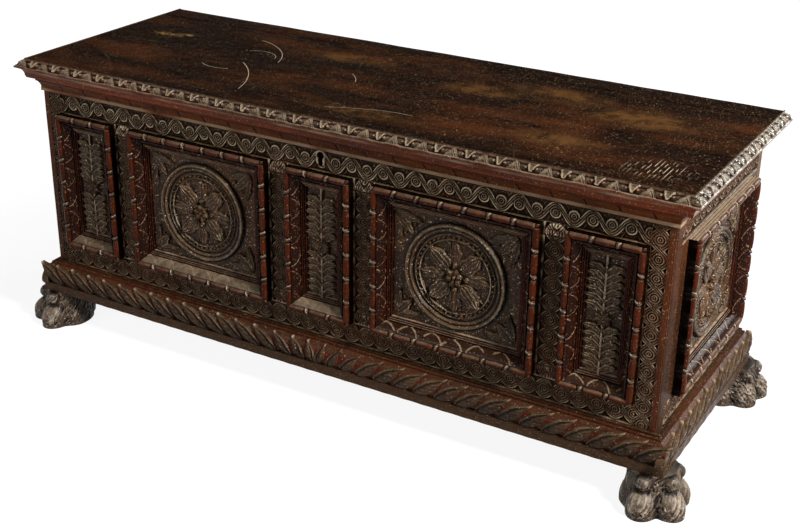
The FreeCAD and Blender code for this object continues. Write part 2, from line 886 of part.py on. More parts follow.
def lock_staple():
    """The looped staple under the lid that the bolt passes through, with its plate."""
    half_gap = staple_gap / 2
    half_width = staple_width / 2
    bar_top = bolt_z - bolt_height / 2 - staple_bar_drop
    bar_bottom = bar_top - staple_bar_height
    loop = box(-half_width, half_width, bolt_y - half_gap - staple_leg,
               bolt_y + half_gap + staple_leg, bar_bottom, lid_bottom)
    eye = box(-half_width, half_width, bolt_y - half_gap, bolt_y + half_gap, bar_top,
              lid_bottom - staple_plate_thickness)
    plate = box(-staple_plate_length / 2, staple_plate_length / 2,
                bolt_y - staple_plate_width / 2, bolt_y + staple_plate_width / 2,
                lid_bottom - staple_plate_thickness, lid_bottom)
    return loop.cut(eye).fuse(plate).removeSplitter()


# Nails

def nail(x, y, z, inward):
    """A square nail whose head rests at a point, driven along a direction."""
    half = nail_side / 2
    head = nail_head_side / 2
    crown = head * nail_head_crown_share

    def square(side, height):
        return [Vec(-side, -side, height), Vec(side, -side, height), Vec(side, side, height),
                Vec(-side, side, height)]

    shank = Part.makeBox(nail_side, nail_side, nail_length, Vec(-half, -half, 0))
    top = faceted([square(head, 0), square(crown, -nail_head_height)])
    shape = shank.fuse(top)
    turn = FreeCAD.Rotation(z_axis, inward)
    shape.Placement = FreeCAD.Placement(Vec(x, y, z), turn)
    return shape


def back_nails():
    """Nails through the back boards into the ends."""
    x = half_length - frame_thickness / 2
    nails = []
    count = int(body_height / back_nail_pitch)
    pitch = body_height / count
    for i in range(count):
        z = plinth_top + pitch * (i + 1 / 2)
        for side in (-1, 1):
            nails.append(nail(side * x, half_depth, z, Vec(0, -1, 0)))
    return nails


def leaf_nails():
    """Nails through the chest leaves into the back."""
    nails = []
    for side in (-1, 1):
        for share_down in leaf_nail_shares:
            nails.append(nail(side * strap_inset, half_depth + strap_thickness,
                              hinge_z - leaf_height * share_down, Vec(0, -1, 0)))
    return nails


def lock_nails():
    """Nails through the lock plate into the top rail."""
    x = lock_plate_width / 2 - nail_head_side
    middle = rim_top - lock_plate_drop - lock_plate_height / 2
    reach = lock_plate_height / 2 - nail_head_side
    return [nail(side_x * x, case_face, middle + side_z * reach, Vec(0, -1, 0))
            for side_x in (-1, 1) for side_z in (-1, 1)]


def strap_nails():
    """Nails through the lid straps into the lid."""
    nails = []
    root = inner_back - plate_clearance
    for side in (-1, 1):
        for share_along in strap_nail_shares:
            nails.append(nail(side * strap_inset, root - strap_length * share_along,
                              lid_bottom - strap_thickness, Vec(0, 0, 1)))
    return nails


def staple_nails():
    """Nails through the staple's plate into the lid."""
    x = staple_plate_length / 2 - nail_head_side
    return [nail(side * x, bolt_y, lid_bottom - staple_plate_thickness, Vec(0, 0, 1))
            for side in (-1, 1)]


# Assembly of the nodes

def front_nodes(nodes):
    """The carved front."""
    spans = front_openings()
    wall = framed_wall(spans, -half_length, half_length)
    nodes["front_stile_left"] = on_front(wall["stiles"][0])
    nodes["front_stile_right"] = on_front(wall["stiles"][1])
    nodes["front_bottom_rail"] = on_front(wall["bottom"])
    nodes["front_top_rail"] = on_front(wall["top"]).cut(keyhole(0))
    for i, muntin in enumerate(wall["muntins"]):
        nodes["front_muntin_%d" % (i + 1)] = on_front(muntin)
    for i, span in enumerate(spans):
        wide = span[1] - span[0] > (narrow_panel_width + wide_panel_width) / 2
        panel = medallion_panel(span) if wide else spray_panel(span)
        nodes["front_panel_%d" % (i + 1)] = on_front(panel)
        nodes["front_moulding_%d" % (i + 1)] = on_front(moulding_frame(span))


def end_nodes(nodes):
    """The two ends, the left one a mirror of the right one."""
    span = (-end_panel_width / 2, end_panel_width / 2)
    wall = framed_wall([span], inner_front, inner_back)
    right = {
        "end_stile_front": wall["stiles"][0],
        "end_stile_rear": wall["stiles"][1],
        "end_top_rail": wall["top"],
        "end_bottom_rail": wall["bottom"],
        "end_panel": medallion_panel(span),
        "end_moulding": moulding_frame(span),
    }
    for name, shape in right.items():
        placed = on_right_end(shape)
        nodes[name + "_right"] = placed
        nodes[name + "_left"] = mirrored(placed)


def carcass_nodes(nodes):
    """Back, bottom, plinth and cornice."""
    split = plinth_top + back_board_split
    middle_y = half_depth - back_thickness / 2
    lower = box(-half_length, half_length, inner_back, half_depth, plinth_top, split)
    upper = box(-half_length, half_length, inner_back, half_depth, split, rim_top)
    tongue_half = back_tongue_thickness / 2
    tongue = box(-half_length, half_length, middle_y - tongue_half, middle_y + tongue_half,
                 split, split + back_tongue)
    groove = box(-half_length, half_length, middle_y - tongue_half, middle_y + tongue_half,
                 split, split + back_tongue + joint_clearance)
    upper = upper.cut(groove)
    for side in (-1, 1):
        notch = strap_notch()
        notch.translate(Vec(side * strap_inset, 0, 0))
        upper = upper.cut(notch)
    nodes["back_board_lower"] = lower.fuse(tongue).removeSplitter()
    nodes["back_board_upper"] = upper
    inner_side = half_length - frame_thickness - joint_clearance
    front_y = inner_front + joint_clearance
    rear_y = inner_back - joint_clearance
    middle = (front_y + rear_y) / 2
    top = plinth_top + bottom_thickness
    nodes["bottom_board_front"] = box(-inner_side, inner_side, front_y, middle, plinth_top, top)
    nodes["bottom_board_rear"] = box(-inner_side, inner_side, middle, rear_y, plinth_top, top)
    nodes["plinth_front"] = plinth_front()
    nodes["plinth_right"] = plinth_right()
    nodes["plinth_left"] = mirrored(nodes["plinth_right"])
    nodes["plinth_back"] = plinth_back()
    nodes["cornice_front"] = cornice_front()


def foot_nodes(nodes):
    """Four feet and the pegs that hold them under the plinth's corners."""
    pegs = Part.makeCompound(foot_pegs())
    nodes["foot_pegs"] = pegs
    for name, foot in feet().items():
        nodes[name] = foot.cut(pegs)
    for name in ("plinth_front", "plinth_left", "plinth_right"):
        nodes[name] = nodes[name].cut(pegs)


def iron_nodes(nodes):
    """Hinges, lock, staple and nails, with the nails' holes."""
    leaf = chest_leaf()
    strap = lid_strap()
    pin = hinge_pin()
    for name, shape in (("hinge_leaves", leaf), ("hinge_straps", strap), ("hinge_pins", pin)):
        pair = []
        for side in (-1, 1):
            placed = shape.copy()
            placed.translate(Vec(side * strap_inset, 0, 0))
            pair.append(placed)
        nodes[name] = Part.makeCompound(pair)
    nodes["lock_plate"] = lock_plate()
    nodes["lock_case"] = lock_case()
    nodes["lock_bolt"] = bolt_body(0)
    nodes["lock_staple"] = lock_staple()
    chest_nails = back_nails() + leaf_nails() + lock_nails()
    cut_nails(nodes, "chest_nails", chest_nails,
              ("back_board_lower", "back_board_upper", "end_stile_rear_left",
               "end_stile_rear_right", "hinge_leaves", "lock_plate", "front_top_rail"))
    cut_nails(nodes, "lid_nails", strap_nails() + staple_nails(),
              ("hinge_straps", "lock_staple", "lid_board_front", "lid_board_rear"))


def cut_nails(nodes, name, nails, holed_names):
    """Adds a group of nails and cuts their holes."""
    group = Part.makeCompound(nails)
    nodes[name] = group
    for holed_name in holed_names:
        nodes[holed_name] = nodes[holed_name].cut(group)


def lid_nodes(nodes):
    """The two boards and the edge mouldings."""
    front, rear = lid_boards()
    nodes["lid_board_front"] = front
    nodes["lid_board_rear"] = rear
    nodes["lid_edge_front"] = lid_edge_front()
    nodes["lid_edge_right"] = lid_edge_right()
    nodes["lid_edge_left"] = mirrored(nodes["lid_edge_right"])


def build():
    """All nodes by name."""
    nodes = {}
    front_nodes(nodes)
    end_nodes(nodes)
    carcass_nodes(nodes)
    foot_nodes(nodes)
    lid_nodes(nodes)
    iron_nodes(nodes)
    return nodes


os.makedirs("parts", exist_ok=True)
for node_name, node_shape in build().items():
    node_shape.exportStep("parts/" + node_name + ".step")
    print(node_name, len(node_shape.Solids), round(node_shape.Volume))
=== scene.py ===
import math
from functools import partial

import bmesh
import bpy
import numpy as np
from mathutils import Matrix, Vector


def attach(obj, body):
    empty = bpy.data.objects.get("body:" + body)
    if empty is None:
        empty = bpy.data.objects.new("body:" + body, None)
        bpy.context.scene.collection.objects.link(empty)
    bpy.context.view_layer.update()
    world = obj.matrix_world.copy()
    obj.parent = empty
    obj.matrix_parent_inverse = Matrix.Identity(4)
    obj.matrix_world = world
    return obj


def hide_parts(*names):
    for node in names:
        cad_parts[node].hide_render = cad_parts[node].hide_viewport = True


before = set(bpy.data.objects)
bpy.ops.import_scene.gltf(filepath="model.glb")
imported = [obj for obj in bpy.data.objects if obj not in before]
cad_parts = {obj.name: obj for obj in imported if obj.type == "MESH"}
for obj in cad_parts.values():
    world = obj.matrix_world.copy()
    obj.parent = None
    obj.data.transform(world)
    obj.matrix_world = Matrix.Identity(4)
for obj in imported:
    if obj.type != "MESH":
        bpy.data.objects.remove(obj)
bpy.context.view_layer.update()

# lengths in the dictionaries are in millimetres
chest = {
    "halfLength": 700.0, "halfDepth": 237.0, "frameThickness": 28.0, "panelThickness": 18.0,
    "plinthLow": 76.0, "plinthTop": 146.0, "rimTop": 577.5, "openingLow": 217.5, "openingHigh": 470.5,
    "panelLow": 193.5, "panelHigh": 494.5, "panelRecess": 6.0, "corniceLow": 537.0,
    "stileInner": 631.0, "muntinHalf": 48.0, "muntinMiddles": (-485.0, -97.0, 97.0, 485.0),
    "endFront": -209.0, "endRear": 215.0, "endStileInner": 152.0, "endPanelHalf": 176.0,
}
detail = {"rail": 1.3, "panel": 1.7,
          "stick": 2.15, "profile": 1.25,
          "lid": 9.0}


# Arithmetic on arrays

def smoothStep(low, high, x):
    share = np.clip((x - low) / (high - low), 0, 1)
    return share * share * (3 - 2 * share)


def blurred(field, reach):
    # two passes of a moving mean along both directions of a grid
    out = field
    for axis in (0, 1, 0, 1):
        pad = [(reach, reach) if k == axis else (0, 0) for k in (0, 1)]
        sums = np.cumsum(np.pad(out, pad, mode="edge"), axis=axis)
        first = np.take(sums, [0], axis=axis) * 0
        sums = np.concatenate([first, sums], axis=axis)
        count = 2 * reach + 1
        size = out.shape[axis]
        out = (np.take(sums, np.arange(count, count + size), axis=axis)
               - np.take(sums, np.arange(size), axis=axis)) / count
    return out


def fromWhole(turns):
    # how far each number stands from the nearest whole one
    return turns - np.round(turns)


def waves(x, y, seed, size):
    # a soft, repeatable unevenness between -1 and 1
    rng = np.random.default_rng(seed)
    total = 0
    for k in range(7):
        angle = rng.uniform(0, 2 * math.pi)
        pitch = size * rng.uniform(0.6, 1.8)
        phase = rng.uniform(0, 2 * math.pi)
        total = total + np.sin((x * math.cos(angle) + y * math.sin(angle)) * 2 * math.pi / pitch + phase)
    return total / 7 * 1.6


def joined(shapes):
    faces = []
    start = 0
    for shape in shapes:
        faces.extend(group + start for group in shape["faces"])
        start += len(shape["points"])
    return {"faces": faces, "points": np.concatenate([shape["points"] for shape in shapes]),
            "cavity": np.concatenate([shape["cavity"] for shape in shapes]),
            "tint": np.concatenate([tintOf(shape) for shape in shapes])}


def tintOf(shape):
    # 1 where the wood is redder, 2 where it is scratched and, on some edges, painted with a highlight, -1
    # where it is dustier and, on the moulding slopes, cornice nicks and keyhole, painted with shade, -2 where
    # black is painted in as shade
    return shape.get("tint", np.zeros(len(shape["points"])))


def moved(shape, place):
    return {**shape, "points": place(shape["points"])}


def shifted(shape, x, y, z):
    return moved(shape, lambda points: points + np.array([x, y, z]))


def mirrored(shape):
    return {**shape, "points": shape["points"] * np.array([-1.0, 1, 1]),
            "faces": [group[:, ::-1] for group in shape["faces"]]}


# Closed shapes from grids

def gridQuads(index):
    return np.stack([index[:-1, :-1], index[:-1, 1:], index[1:, 1:], index[1:, :-1]], -1).reshape(-1, 4)


def borderOf(index):
    # the outer points of a grid, once round
    return np.concatenate([index[0], index[1:, -1], index[-1, -2::-1], index[-2:0:-1, 0]])


def tubeFaces(rows, columns):
    # rows of points that each run round a closed loop, with a cap on the first and the last
    index = np.arange(rows * columns).reshape(rows, columns)
    looped = np.concatenate([index, index[:, :1]], 1)
    return [gridQuads(looped), index[:1, ::-1], index[-1:]]


def plainTint(u, v):
    return u * 0


def gridLines(low, high, cell, fine):
    # positions from low to high, a cell apart in the fine spans and three cells apart elsewhere
    edges = sorted({low, high, *(min(max(edge, low), high) for span in fine for edge in span)})
    runs = []
    for first, last in zip(edges, edges[1:]):
        middle = (first + last) / 2
        step = cell if any(a <= middle <= b for a, b in fine) else cell * 3
        runs.append(np.linspace(first, last, max(1, math.ceil((last - first) / step)), endpoint=False))
    return np.concatenate([*runs, [high]])


def reliefBlock(across, up, thickness, relief, cell, tint=plainTint, fineAcross=None, fineUp=None):
    # a board whose front face is a grid raised by relief(across, up)
    u, v = np.meshgrid(gridLines(*across, cell, fineAcross or [across]), gridLines(*up, cell, fineUp or [up]))
    rows, columns = u.shape
    height = relief(u, v) + 0 * u
    cavity = height - blurred(height, max(1, round(2.6 / cell)))
    points = np.stack([u, v, height], -1).reshape(-1, 3)
    index = np.arange(rows * columns).reshape(rows, columns)
    border = borderOf(index)
    back = points[border].copy()
    back[:, 2] = -thickness
    middle = np.array([[sum(across) / 2, sum(up) / 2, -thickness]])
    ring = len(points) + np.arange(len(border))
    ringNext = np.roll(ring, -1)
    sides = np.stack([border, ring, ringNext, np.roll(border, -1)], -1)
    fan = np.stack([np.full(len(ring), ring[-1] + 1), ringNext, ring], -1)
    rest = np.zeros(len(border) + 1)
    return {"points": np.concatenate([points, back, middle]), "faces": [gridQuads(index), sides, fan],
            "cavity": np.concatenate([cavity.ravel(), rest]),
            "tint": np.concatenate([tint(u, v).ravel(), rest])}


def profileFrom(steps, spacing, carved):
    # a closed outline as points, each with the number of its step and its share of that step;
    # a step is a corner, or a pair (through, end) for an arc, and only carved steps are finely divided
    points, zones, shares = [], [], []
    start = np.array(steps[0], float)
    for number, step in enumerate(list(steps[1:]) + [steps[0]]):
        if isinstance(step[0], tuple):
            through, end = np.array(step[0], float), np.array(step[1], float)
            run = arcPoints(start, through, end, spacing if number in carved else spacing * 2)
            share = np.linspace(0, 1, len(run))
        else:
            end = np.array(step, float)
            length = np.linalg.norm(end - start)
            if number in carved:
                share = np.linspace(0, 1, math.ceil(length / spacing) + 1)
            else:
                share = np.array([0, 1 - min(0.5, 0.7 / length), 1])
            run = start + (end - start) * share[:, None]
        points.append(run[:-1])
        zones.append(np.full(len(run) - 1, number))
        shares.append(share[:-1])
        start = end
    return np.concatenate(points), np.concatenate(zones), np.concatenate(shares)


def raised(steps, lift):
    # the same outline moved along its first axis
    return [tuple((low + lift, out) for low, out in step) if isinstance(step[0], tuple)
            else (step[0] + lift, step[1]) for step in steps]


def circleCentre(start, through, end):
    (ax, ay), (bx, by), (cx, cy) = start, through, end
    d = 2 * (ax * (by - cy) + bx * (cy - ay) + cx * (ay - by))
    a2, b2, c2 = ax * ax + ay * ay, bx * bx + by * by, cx * cx + cy * cy
    return np.array([(a2 * (by - cy) + b2 * (cy - ay) + c2 * (ay - by)) / d,
                     (a2 * (cx - bx) + b2 * (ax - cx) + c2 * (bx - ax)) / d])


def arcPoints(start, through, end, spacing):
    centre = circleCentre(start, through, end)
    radius = np.linalg.norm(start - centre)
    first, middle, last = (math.atan2(*(p - centre)[::-1]) for p in (start, through, end))
    turn = (last - first) % (2 * math.pi)
    if (middle - first) % (2 * math.pi) > turn:
        turn -= 2 * math.pi
    count = max(3, math.ceil(abs(turn) * radius / spacing))
    angles = first + turn * np.linspace(0, 1, count + 1)
    return centre + radius * np.stack([np.cos(angles), np.sin(angles)], -1)


def sweep(steps, spacing, length, leans, carve, cell, carved):
    # a straight moulding along the first axis; its section lies in the other two, and its ends are
    # cut by planes that move along by a lean for each millimetre of the chosen section axis
    outline, zones, shares = profileFrom(steps, spacing, carved)
    after, before = np.roll(outline, -1, 0), np.roll(outline, 1, 0)
    area = np.sum(outline[:, 0] * after[:, 1] - after[:, 0] * outline[:, 1])
    tangent = after - before
    normal = np.stack([tangent[:, 1], -tangent[:, 0]], -1) * np.sign(area)
    normal /= np.linalg.norm(normal, axis=1, keepdims=True)
    rows = max(2, round(length / cell) + 1)
    share = np.linspace(0, 1, rows)[:, None]
    axis, startLean, endLean = leans

    def along(section):
        first = startLean * section[..., axis]
        return first + (length + endLean * section[..., axis] - first) * share

    position = along(outline[None])
    offset, tint = carve(position, zones[None] + 0 * position, shares[None] + 0 * position)
    section = outline[None] + offset[..., None] * normal[None]
    points = np.concatenate([along(section)[..., None], section], -1)
    cavity = offset - blurred(offset, max(1, round(5.0 / cell)))
    if area < 0:
        points, cavity, tint = points[:, ::-1], cavity[:, ::-1], tint[:, ::-1]
    return {"points": points.reshape(-1, 3), "faces": tubeFaces(rows, points.shape[1]),
            "cavity": cavity.ravel(), "tint": tint.ravel()}


def sweptRound(steps, spacing, carve, cell, carved, halfLength, halfDepth, sideLength):
    # a moulding along the front, mitred at both ends, and the one along the right end, mitred in front
    front = sweep(steps, spacing, halfLength * 2, (1, -1, 1), carve, cell, carved)
    side = sweep(steps, spacing, sideLength, (1, -1, 0), carve, cell, carved)
    return (moved(front, lambda p: np.stack([p[:, 0] - halfLength, -halfDepth - p[:, 2], p[:, 1]], -1)),
            moved(side, lambda p: np.stack([halfLength + p[:, 2], p[:, 0] - halfDepth, p[:, 1]], -1)))


# Objects

def toObject(name, shape, material, body=None, slotName=None, replaced=(), sharp=38, scale=0.001):
    mesh = bpy.data.meshes.new(name)
    points = np.ascontiguousarray(shape["points"] * scale, dtype=np.float32)
    groups = [np.asarray(group) for group in shape["faces"]]
    loops = np.concatenate([group.ravel() for group in groups]).astype(np.int32)
    sizes = np.concatenate([np.full(len(group), group.shape[1]) for group in groups])
    starts = np.concatenate([[0], np.cumsum(sizes)[:-1]]).astype(np.int32)
    mesh.vertices.add(len(points))
    mesh.vertices.foreach_set("co", points.ravel())
    mesh.loops.add(len(loops))
    mesh.loops.foreach_set("vertex_index", loops)
    mesh.polygons.add(len(sizes))
    mesh.polygons.foreach_set("loop_start", starts)
    mesh.update(calc_edges=True)
    mesh.validate()
    for label, values in (("cavity", shape["cavity"]), ("tint", tintOf(shape))):
        attribute = mesh.attributes.new(label, "FLOAT", "POINT")
        attribute.data.foreach_set("value", values.astype(np.float32))
    mesh.polygons.foreach_set("use_smooth", np.ones(len(mesh.polygons), bool))
    mesh.set_sharp_from_angle(angle=math.radians(sharp))
    mesh.materials.append(material)
    made = bpy.data.objects.new(name, mesh)
    bpy.context.scene.collection.objects.link(made)
    if body:
        keep(made, body, replaced)
    return made


def keep(made, body, replaced=()):
    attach(made, body)
    if replaced:
        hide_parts(*replaced)


def bothSides(name, shape, material, slotName, body="chest", **more):
    # the piece on the right end and its mirror on the left one
    toObject(name + "_right_look", shape, material, body, slotName, [name + "_right"], **more)
    toObject(name + "_left_look", mirrored(shape), material, body, slotName, [name + "_left"], **more)


def onFront(points):
    return np.stack([points[:, 0], -chest["halfDepth"] - points[:, 2], points[:, 1]], -1)


def onRightEnd(points):
    return np.stack([chest["halfLength"] + points[:, 2], points[:, 0], points[:, 1]], -1)


# Finishes

def linearColour(hexColour):
    values = [int(hexColour[k:k + 2], 16) / 255 for k in (1, 3, 5)]
    return [v / 12.92 if v <= 0.04045 else ((v + 0.055) / 1.055) ** 2.4 for v in values] + [1.0]


# short names for the nodes used most: type, order of the inputs, output, settings
nodeKinds = {
    "mix": ("ShaderNodeMix", (0, 6, 7), 2, {"data_type": "RGBA"}),
    "range": ("ShaderNodeMapRange", (0, 1, 2, 3, 4), 0, {"interpolation_type": "SMOOTHSTEP"}),
    "noise": ("ShaderNodeTexNoise", ("Vector", "Scale", "Detail", "Roughness", "Distortion"), 0, {}),
    "scaled": ("ShaderNodeMapping", ("Vector", "Scale"), 0, {}),
}


def addNode(tree, kind, *values, out=None, **settings):
    # adds a node with its settings and links and gives back an output; a kind in capitals is a
    # Math node's operation, and a hex colour is turned to linear
    plain = ("ShaderNodeMath", (0, 1), 0, {"operation": kind}) if kind.isupper() else (kind, (0, 1), 0, {})
    typeName, order, usual, fixed = nodeKinds.get(kind, plain)
    node = tree.nodes.new(typeName)
    for key, value in {**fixed, **settings}.items():
        setattr(node, key, value)
    named = values[0] if values and isinstance(values[0], dict) else dict(zip(order, values))
    for key, value in named.items():
        if isinstance(value, bpy.types.NodeSocket):
            tree.links.new(value, node.inputs[key])
        else:
            isHex = isinstance(value, str) and value.startswith("#")
            node.inputs[key].default_value = linearColour(value) if isHex else value
    return node.outputs[usual if out is None else out] if len(node.outputs) else None


def newFinish(name):
    material = bpy.data.materials.new(name)
    material.use_nodes = True
    tree = material.node_tree
    return material, tree, tree.nodes["Principled BSDF"], partial(addNode, tree)


def woodMaterial(name, grain, look, marks=None):
    # dark walnut: fine grain along one axis, wax that gathers dark in the hollows together with painted shade
    # there, dust on what faces up, and rubbed, paler edges with painted highlights where the carving stands
    # proud
    material, tree, surface, add = newFinish(name)
    place = add("ShaderNodeTexCoord", out="Object")
    along, drawn = (add("scaled", place, [share if axis == grain else 1.0 for axis in "XYZ"])
                    for share in (0.07, 0.35))
    figure = add("noise", along, 90.0, 6.0, 0.6, 0.6)  # bands about 11 mm wide
    pores = add("noise", along, 900.0, 3.0, 0.6)  # about 1 mm, coarser than real pores so that they show
    patches = add("noise", drawn, look.get("patchScale", 9.0), 6.0, 0.65)  # about 110 mm
    mottle = add("noise", place, look.get("mottleScale", 60.0), 5.0, 0.65)  # about 17 mm
    # pale flecks 3 mm apart: dust specks, and painted glints as well
    speckleAndGlints = add("noise", place, 340.0, 2.0, 0.5)  # 3 mm apart
    cavity, tint = (add("ShaderNodeAttribute", out="Fac", attribute_name=label)
                    for label in ("cavity", "tint"))
    # low marks the hollows of the carving, where the deep colour is painted shade as well as gathered wax
    low = add("range", cavity, -0.1, -1.3)
    # high marks the ridges; the pale colour there is painted highlight as well as rubbed wear
    high = add("range", cavity, *look.get("ridge", (0.35, 1.7)))
    base = add("mix", add("range", figure, 0.3, 0.7), look["dark"], look["middle"])
    bright = add("MULTIPLY", add("range", figure, 0.25, 0.6, 0.25, 1.0),
                 add("range", patches, 0.3, 0.6, 0.45, 1.0))
    redder = add("mix", bright, look["dark"], look["red"])
    # negative tint: dust in places, and painted shade on the moulding slopes, the cornice nicks and the
    # keyhole
    dustAndPaintedShade = add("MULTIPLY", add("range", tint, 0.0, -1.0), add("range", mottle, 0.3, 0.6, 0.5, 1.0))
    rubbedAndHighlit = add("MULTIPLY", high, add("range", mottle, 0.35, 0.6, 0.35, 1.0))
    upward = add("ShaderNodeSeparateXYZ", add("ShaderNodeNewGeometry", out="Normal"), out=2)
    settled = add("MULTIPLY", add("range", upward, 0.1, 0.8), look["dust"])
    clean = add("MULTIPLY", add("range", tint, -1.0, 0.0), add("range", tint, 0.5, 1.0, 1.0, 0.25))
    settled = add("MULTIPLY", add("MULTIPLY", settled, clean), add("range", mottle, 0.3, 0.62, 0.35, 1.0))
    layers = [
        (add("range", patches, 0.45, 0.72), look["warm"]),
        (add("range", tint, 0.0, 1.0), redder),
        (dustAndPaintedShade, look["dustAndPaintedShade"]),
        (add("range", pores, 0.52, 0.66, 0.0, 0.55), look["dark"]),
        # painted highlight and rubbed wear on the ridges
        (add("MULTIPLY", rubbedAndHighlit, look["rubAndHighlight"]), look["pale"]),
        (settled, look["dustColour"]),
        (add("MULTIPLY", add("range", speckleAndGlints, 0.63, 0.72), look.get("flecksAndGlints", 0.3)), look["pale"]),
        # painted shade in the hollows, with the wax
        (add("MULTIPLY", low, look["hollow"]), look["deep"]),
        # pale lines: real scratches, and painted highlights along some edges and ledges
        (add("range", tint, 1.25, 1.7, 0.0, 0.48), look["pale"]),  # scratches
        # black painted in as shade in quirks, grooves and the keyhole
        (add("range", tint, -1.25, -1.8, 0.0, 0.9), look["deep"]),  # black wax
    ]
    for share, colour in layers:
        base = add("mix", share, base, colour)
    if marks:
        base = marks(add, place, base)
    rough = add("ADD", add("range", mottle, 0.3, 0.7, *look["rough"]), add("MULTIPLY", low, 0.25))
    rough = add("SUBTRACT", rough, add("MULTIPLY", high, 0.1))
    height = add("ADD", add("MULTIPLY", pores, 0.35), add("MULTIPLY", mottle, 0.65))
    bump = add("ShaderNodeBump", {"Strength": look.get("bump", 0.5), "Distance": 0.0012, "Height": height})
    tree.links.new(base, surface.inputs["Base Color"])
    tree.links.new(rough, surface.inputs["Roughness"])
    tree.links.new(bump, surface.inputs["Normal"])
    surface.inputs["Specular IOR Level"].default_value = look.get("specular", 0.5)
    return material


def circleMark(add, place, start, through, end, half):
    # 1 on a thin arc through three points of the lid, in metres
    points = [np.array(p) * 0.001 for p in (start, through, end)]
    centre = circleCentre(*points)
    radius = float(np.linalg.norm(points[0] - centre))
    reach = float(np.linalg.norm(points[2] - points[0])) / 2
    middle = (points[0] + points[2]) / 2
    flat = add("ShaderNodeVectorMath", place, (1, 1, 0), operation="MULTIPLY")
    far, near = (add("ShaderNodeVectorMath", flat, (*spot, 0), operation="DISTANCE", out=1)
                 for spot in (centre, middle))
    off = add("ABSOLUTE", add("SUBTRACT", far, radius))
    return add("MULTIPLY", add("range", off, half, half * 0.4), add("LESS_THAN", near, reach))


def spotMark(add, place, middle, reach):
    # fades from 1 in the middle of an upright ellipse on the lid to 0 at its edge
    shifted = add("ShaderNodeVectorMath", place, (middle[0] * 0.001, middle[1] * 0.001, 0),
                  operation="SUBTRACT")
    scaled = add("ShaderNodeVectorMath", shifted, (1000 / reach[0], 1000 / reach[1], 0), operation="MULTIPLY")
    return add("range", add("ShaderNodeVectorMath", scaled, operation="LENGTH", out=1), 1.0, 0.25)


lidWear = {
    "scratches": [((-398, -78), (-413, 3), (-326, -85), 1.1), ((-225, -185), (-257, -109), (-326, -32), 1.3),
                  ((-369, 50), (-335, 62), (-288, 28), 1.0), ((-395, 131), (-330, 100), (-265, 7), 1.2),
                  ((-20, -190), (60, -160), (150, -150), 0.8), ((-90, 20), (-70, 0), (-55, -25), 1.0)],
    "patches": [((181, 60), (110, 50)), ((327, 115), (150, 60)), ((430, -130), (120, 50)),
                ((-150, 115), (140, 45)), ((60, -180), (160, 35)), ((520, 60), (160, 70))],
    "gouges": [((-600, 62), (52, 16)), ((-560, 78), (30, 10))],
    "hatch": ((632, -175), (75, 62)), "tickPitch": 7.8, "undersideBelow": 600.0,
    "ochre": "#5a3c1e", "bareWood": "#8c6a3c", "scratch": "#9a8b75",
    "rawDark": "#33251a", "rawLight": "#4e3a28",
}


def lidMarks(add, place, base):
    # worn ochre patches, two gouges down to bare wood, scratches and a field of knife ticks, all on
    # the top; the underside is unwaxed
    cloud = add("noise", place, 26.0, 5.0, 0.7)
    ragged = add("noise", place, 130.0, 4.0, 0.7)
    layers = []
    for patch in lidWear["patches"]:
        worn = add("MULTIPLY", spotMark(add, place, *patch), add("range", cloud, 0.38, 0.62, 0.1, 0.75))
        layers.append((worn, lidWear["ochre"]))
    for gouge in lidWear["gouges"]:
        bare = add("MULTIPLY", spotMark(add, place, *gouge), add("range", ragged, 0.42, 0.58))
        layers.append((bare, lidWear["bareWood"]))
    for start, through, end, width in lidWear["scratches"]:
        line = circleMark(add, place, start, through, end, width * 0.001)
        layers.append((add("MULTIPLY", line, add("range", ragged, 0.3, 0.5, 0.35, 1.0)), lidWear["scratch"]))
    across, height = (add("ShaderNodeSeparateXYZ", place, out=k) for k in (0, 2))
    ticks = add("FRACT", add("DIVIDE", across, lidWear["tickPitch"] * 0.001))
    broken = add("noise", add("scaled", place, (1.0, 0.25, 1.0)), 150.0, 2.0, 0.55)
    ticks = add("MULTIPLY", add("LESS_THAN", ticks, 0.2), add("range", broken, 0.46, 0.56))
    layers.append((add("MULTIPLY", ticks, spotMark(add, place, *lidWear["hatch"])), lidWear["scratch"]))
    streak = add("noise", add("scaled", place, (0.07, 1.0, 1.0)), 90.0, 4.0, 0.55)
    raw = add("mix", add("range", streak, 0.35, 0.65), lidWear["rawDark"], lidWear["rawLight"])
    layers.append((add("LESS_THAN", height, lidWear["undersideBelow"] * 0.001), raw))
    for share, colour in layers:
        base = add("mix", share, base, colour)
    return base


carvedLook = {
    "dark": "#140a04", "middle": "#331d10", "warm": "#452411", "pale": "#aa947a", "red": "#55250d",
    "dustAndPaintedShade": "#3a2a1b", "deep": "#030100", "dustColour": "#6c5840", "dust": 0.4, "rubAndHighlight": 0.85, "hollow": 0.97,
    "rough": (0.2, 0.42), "bump": 0.8, "flecksAndGlints": 0.5, "specular": 0.05,
}
# paler, stronger ridges on the top rail: painted highlights for the light from above
topRailLook = {**carvedLook, "pale": "#cdb899", "rubAndHighlight": 1.0, "ridge": (0.3, 1.6)}
leafLook = {
    **carvedLook, "dark": "#170c06", "middle": "#382412", "warm": "#432812", "pale": "#c6b294", "rubAndHighlight": 0.9,
    "ridge": (0.5, 2.4), "flecksAndGlints": 0.8, "specular": 0.1, "rough": (0.16, 0.36),
}
panelLook = {**leafLook, "ridge": (0.9, 5.5)}
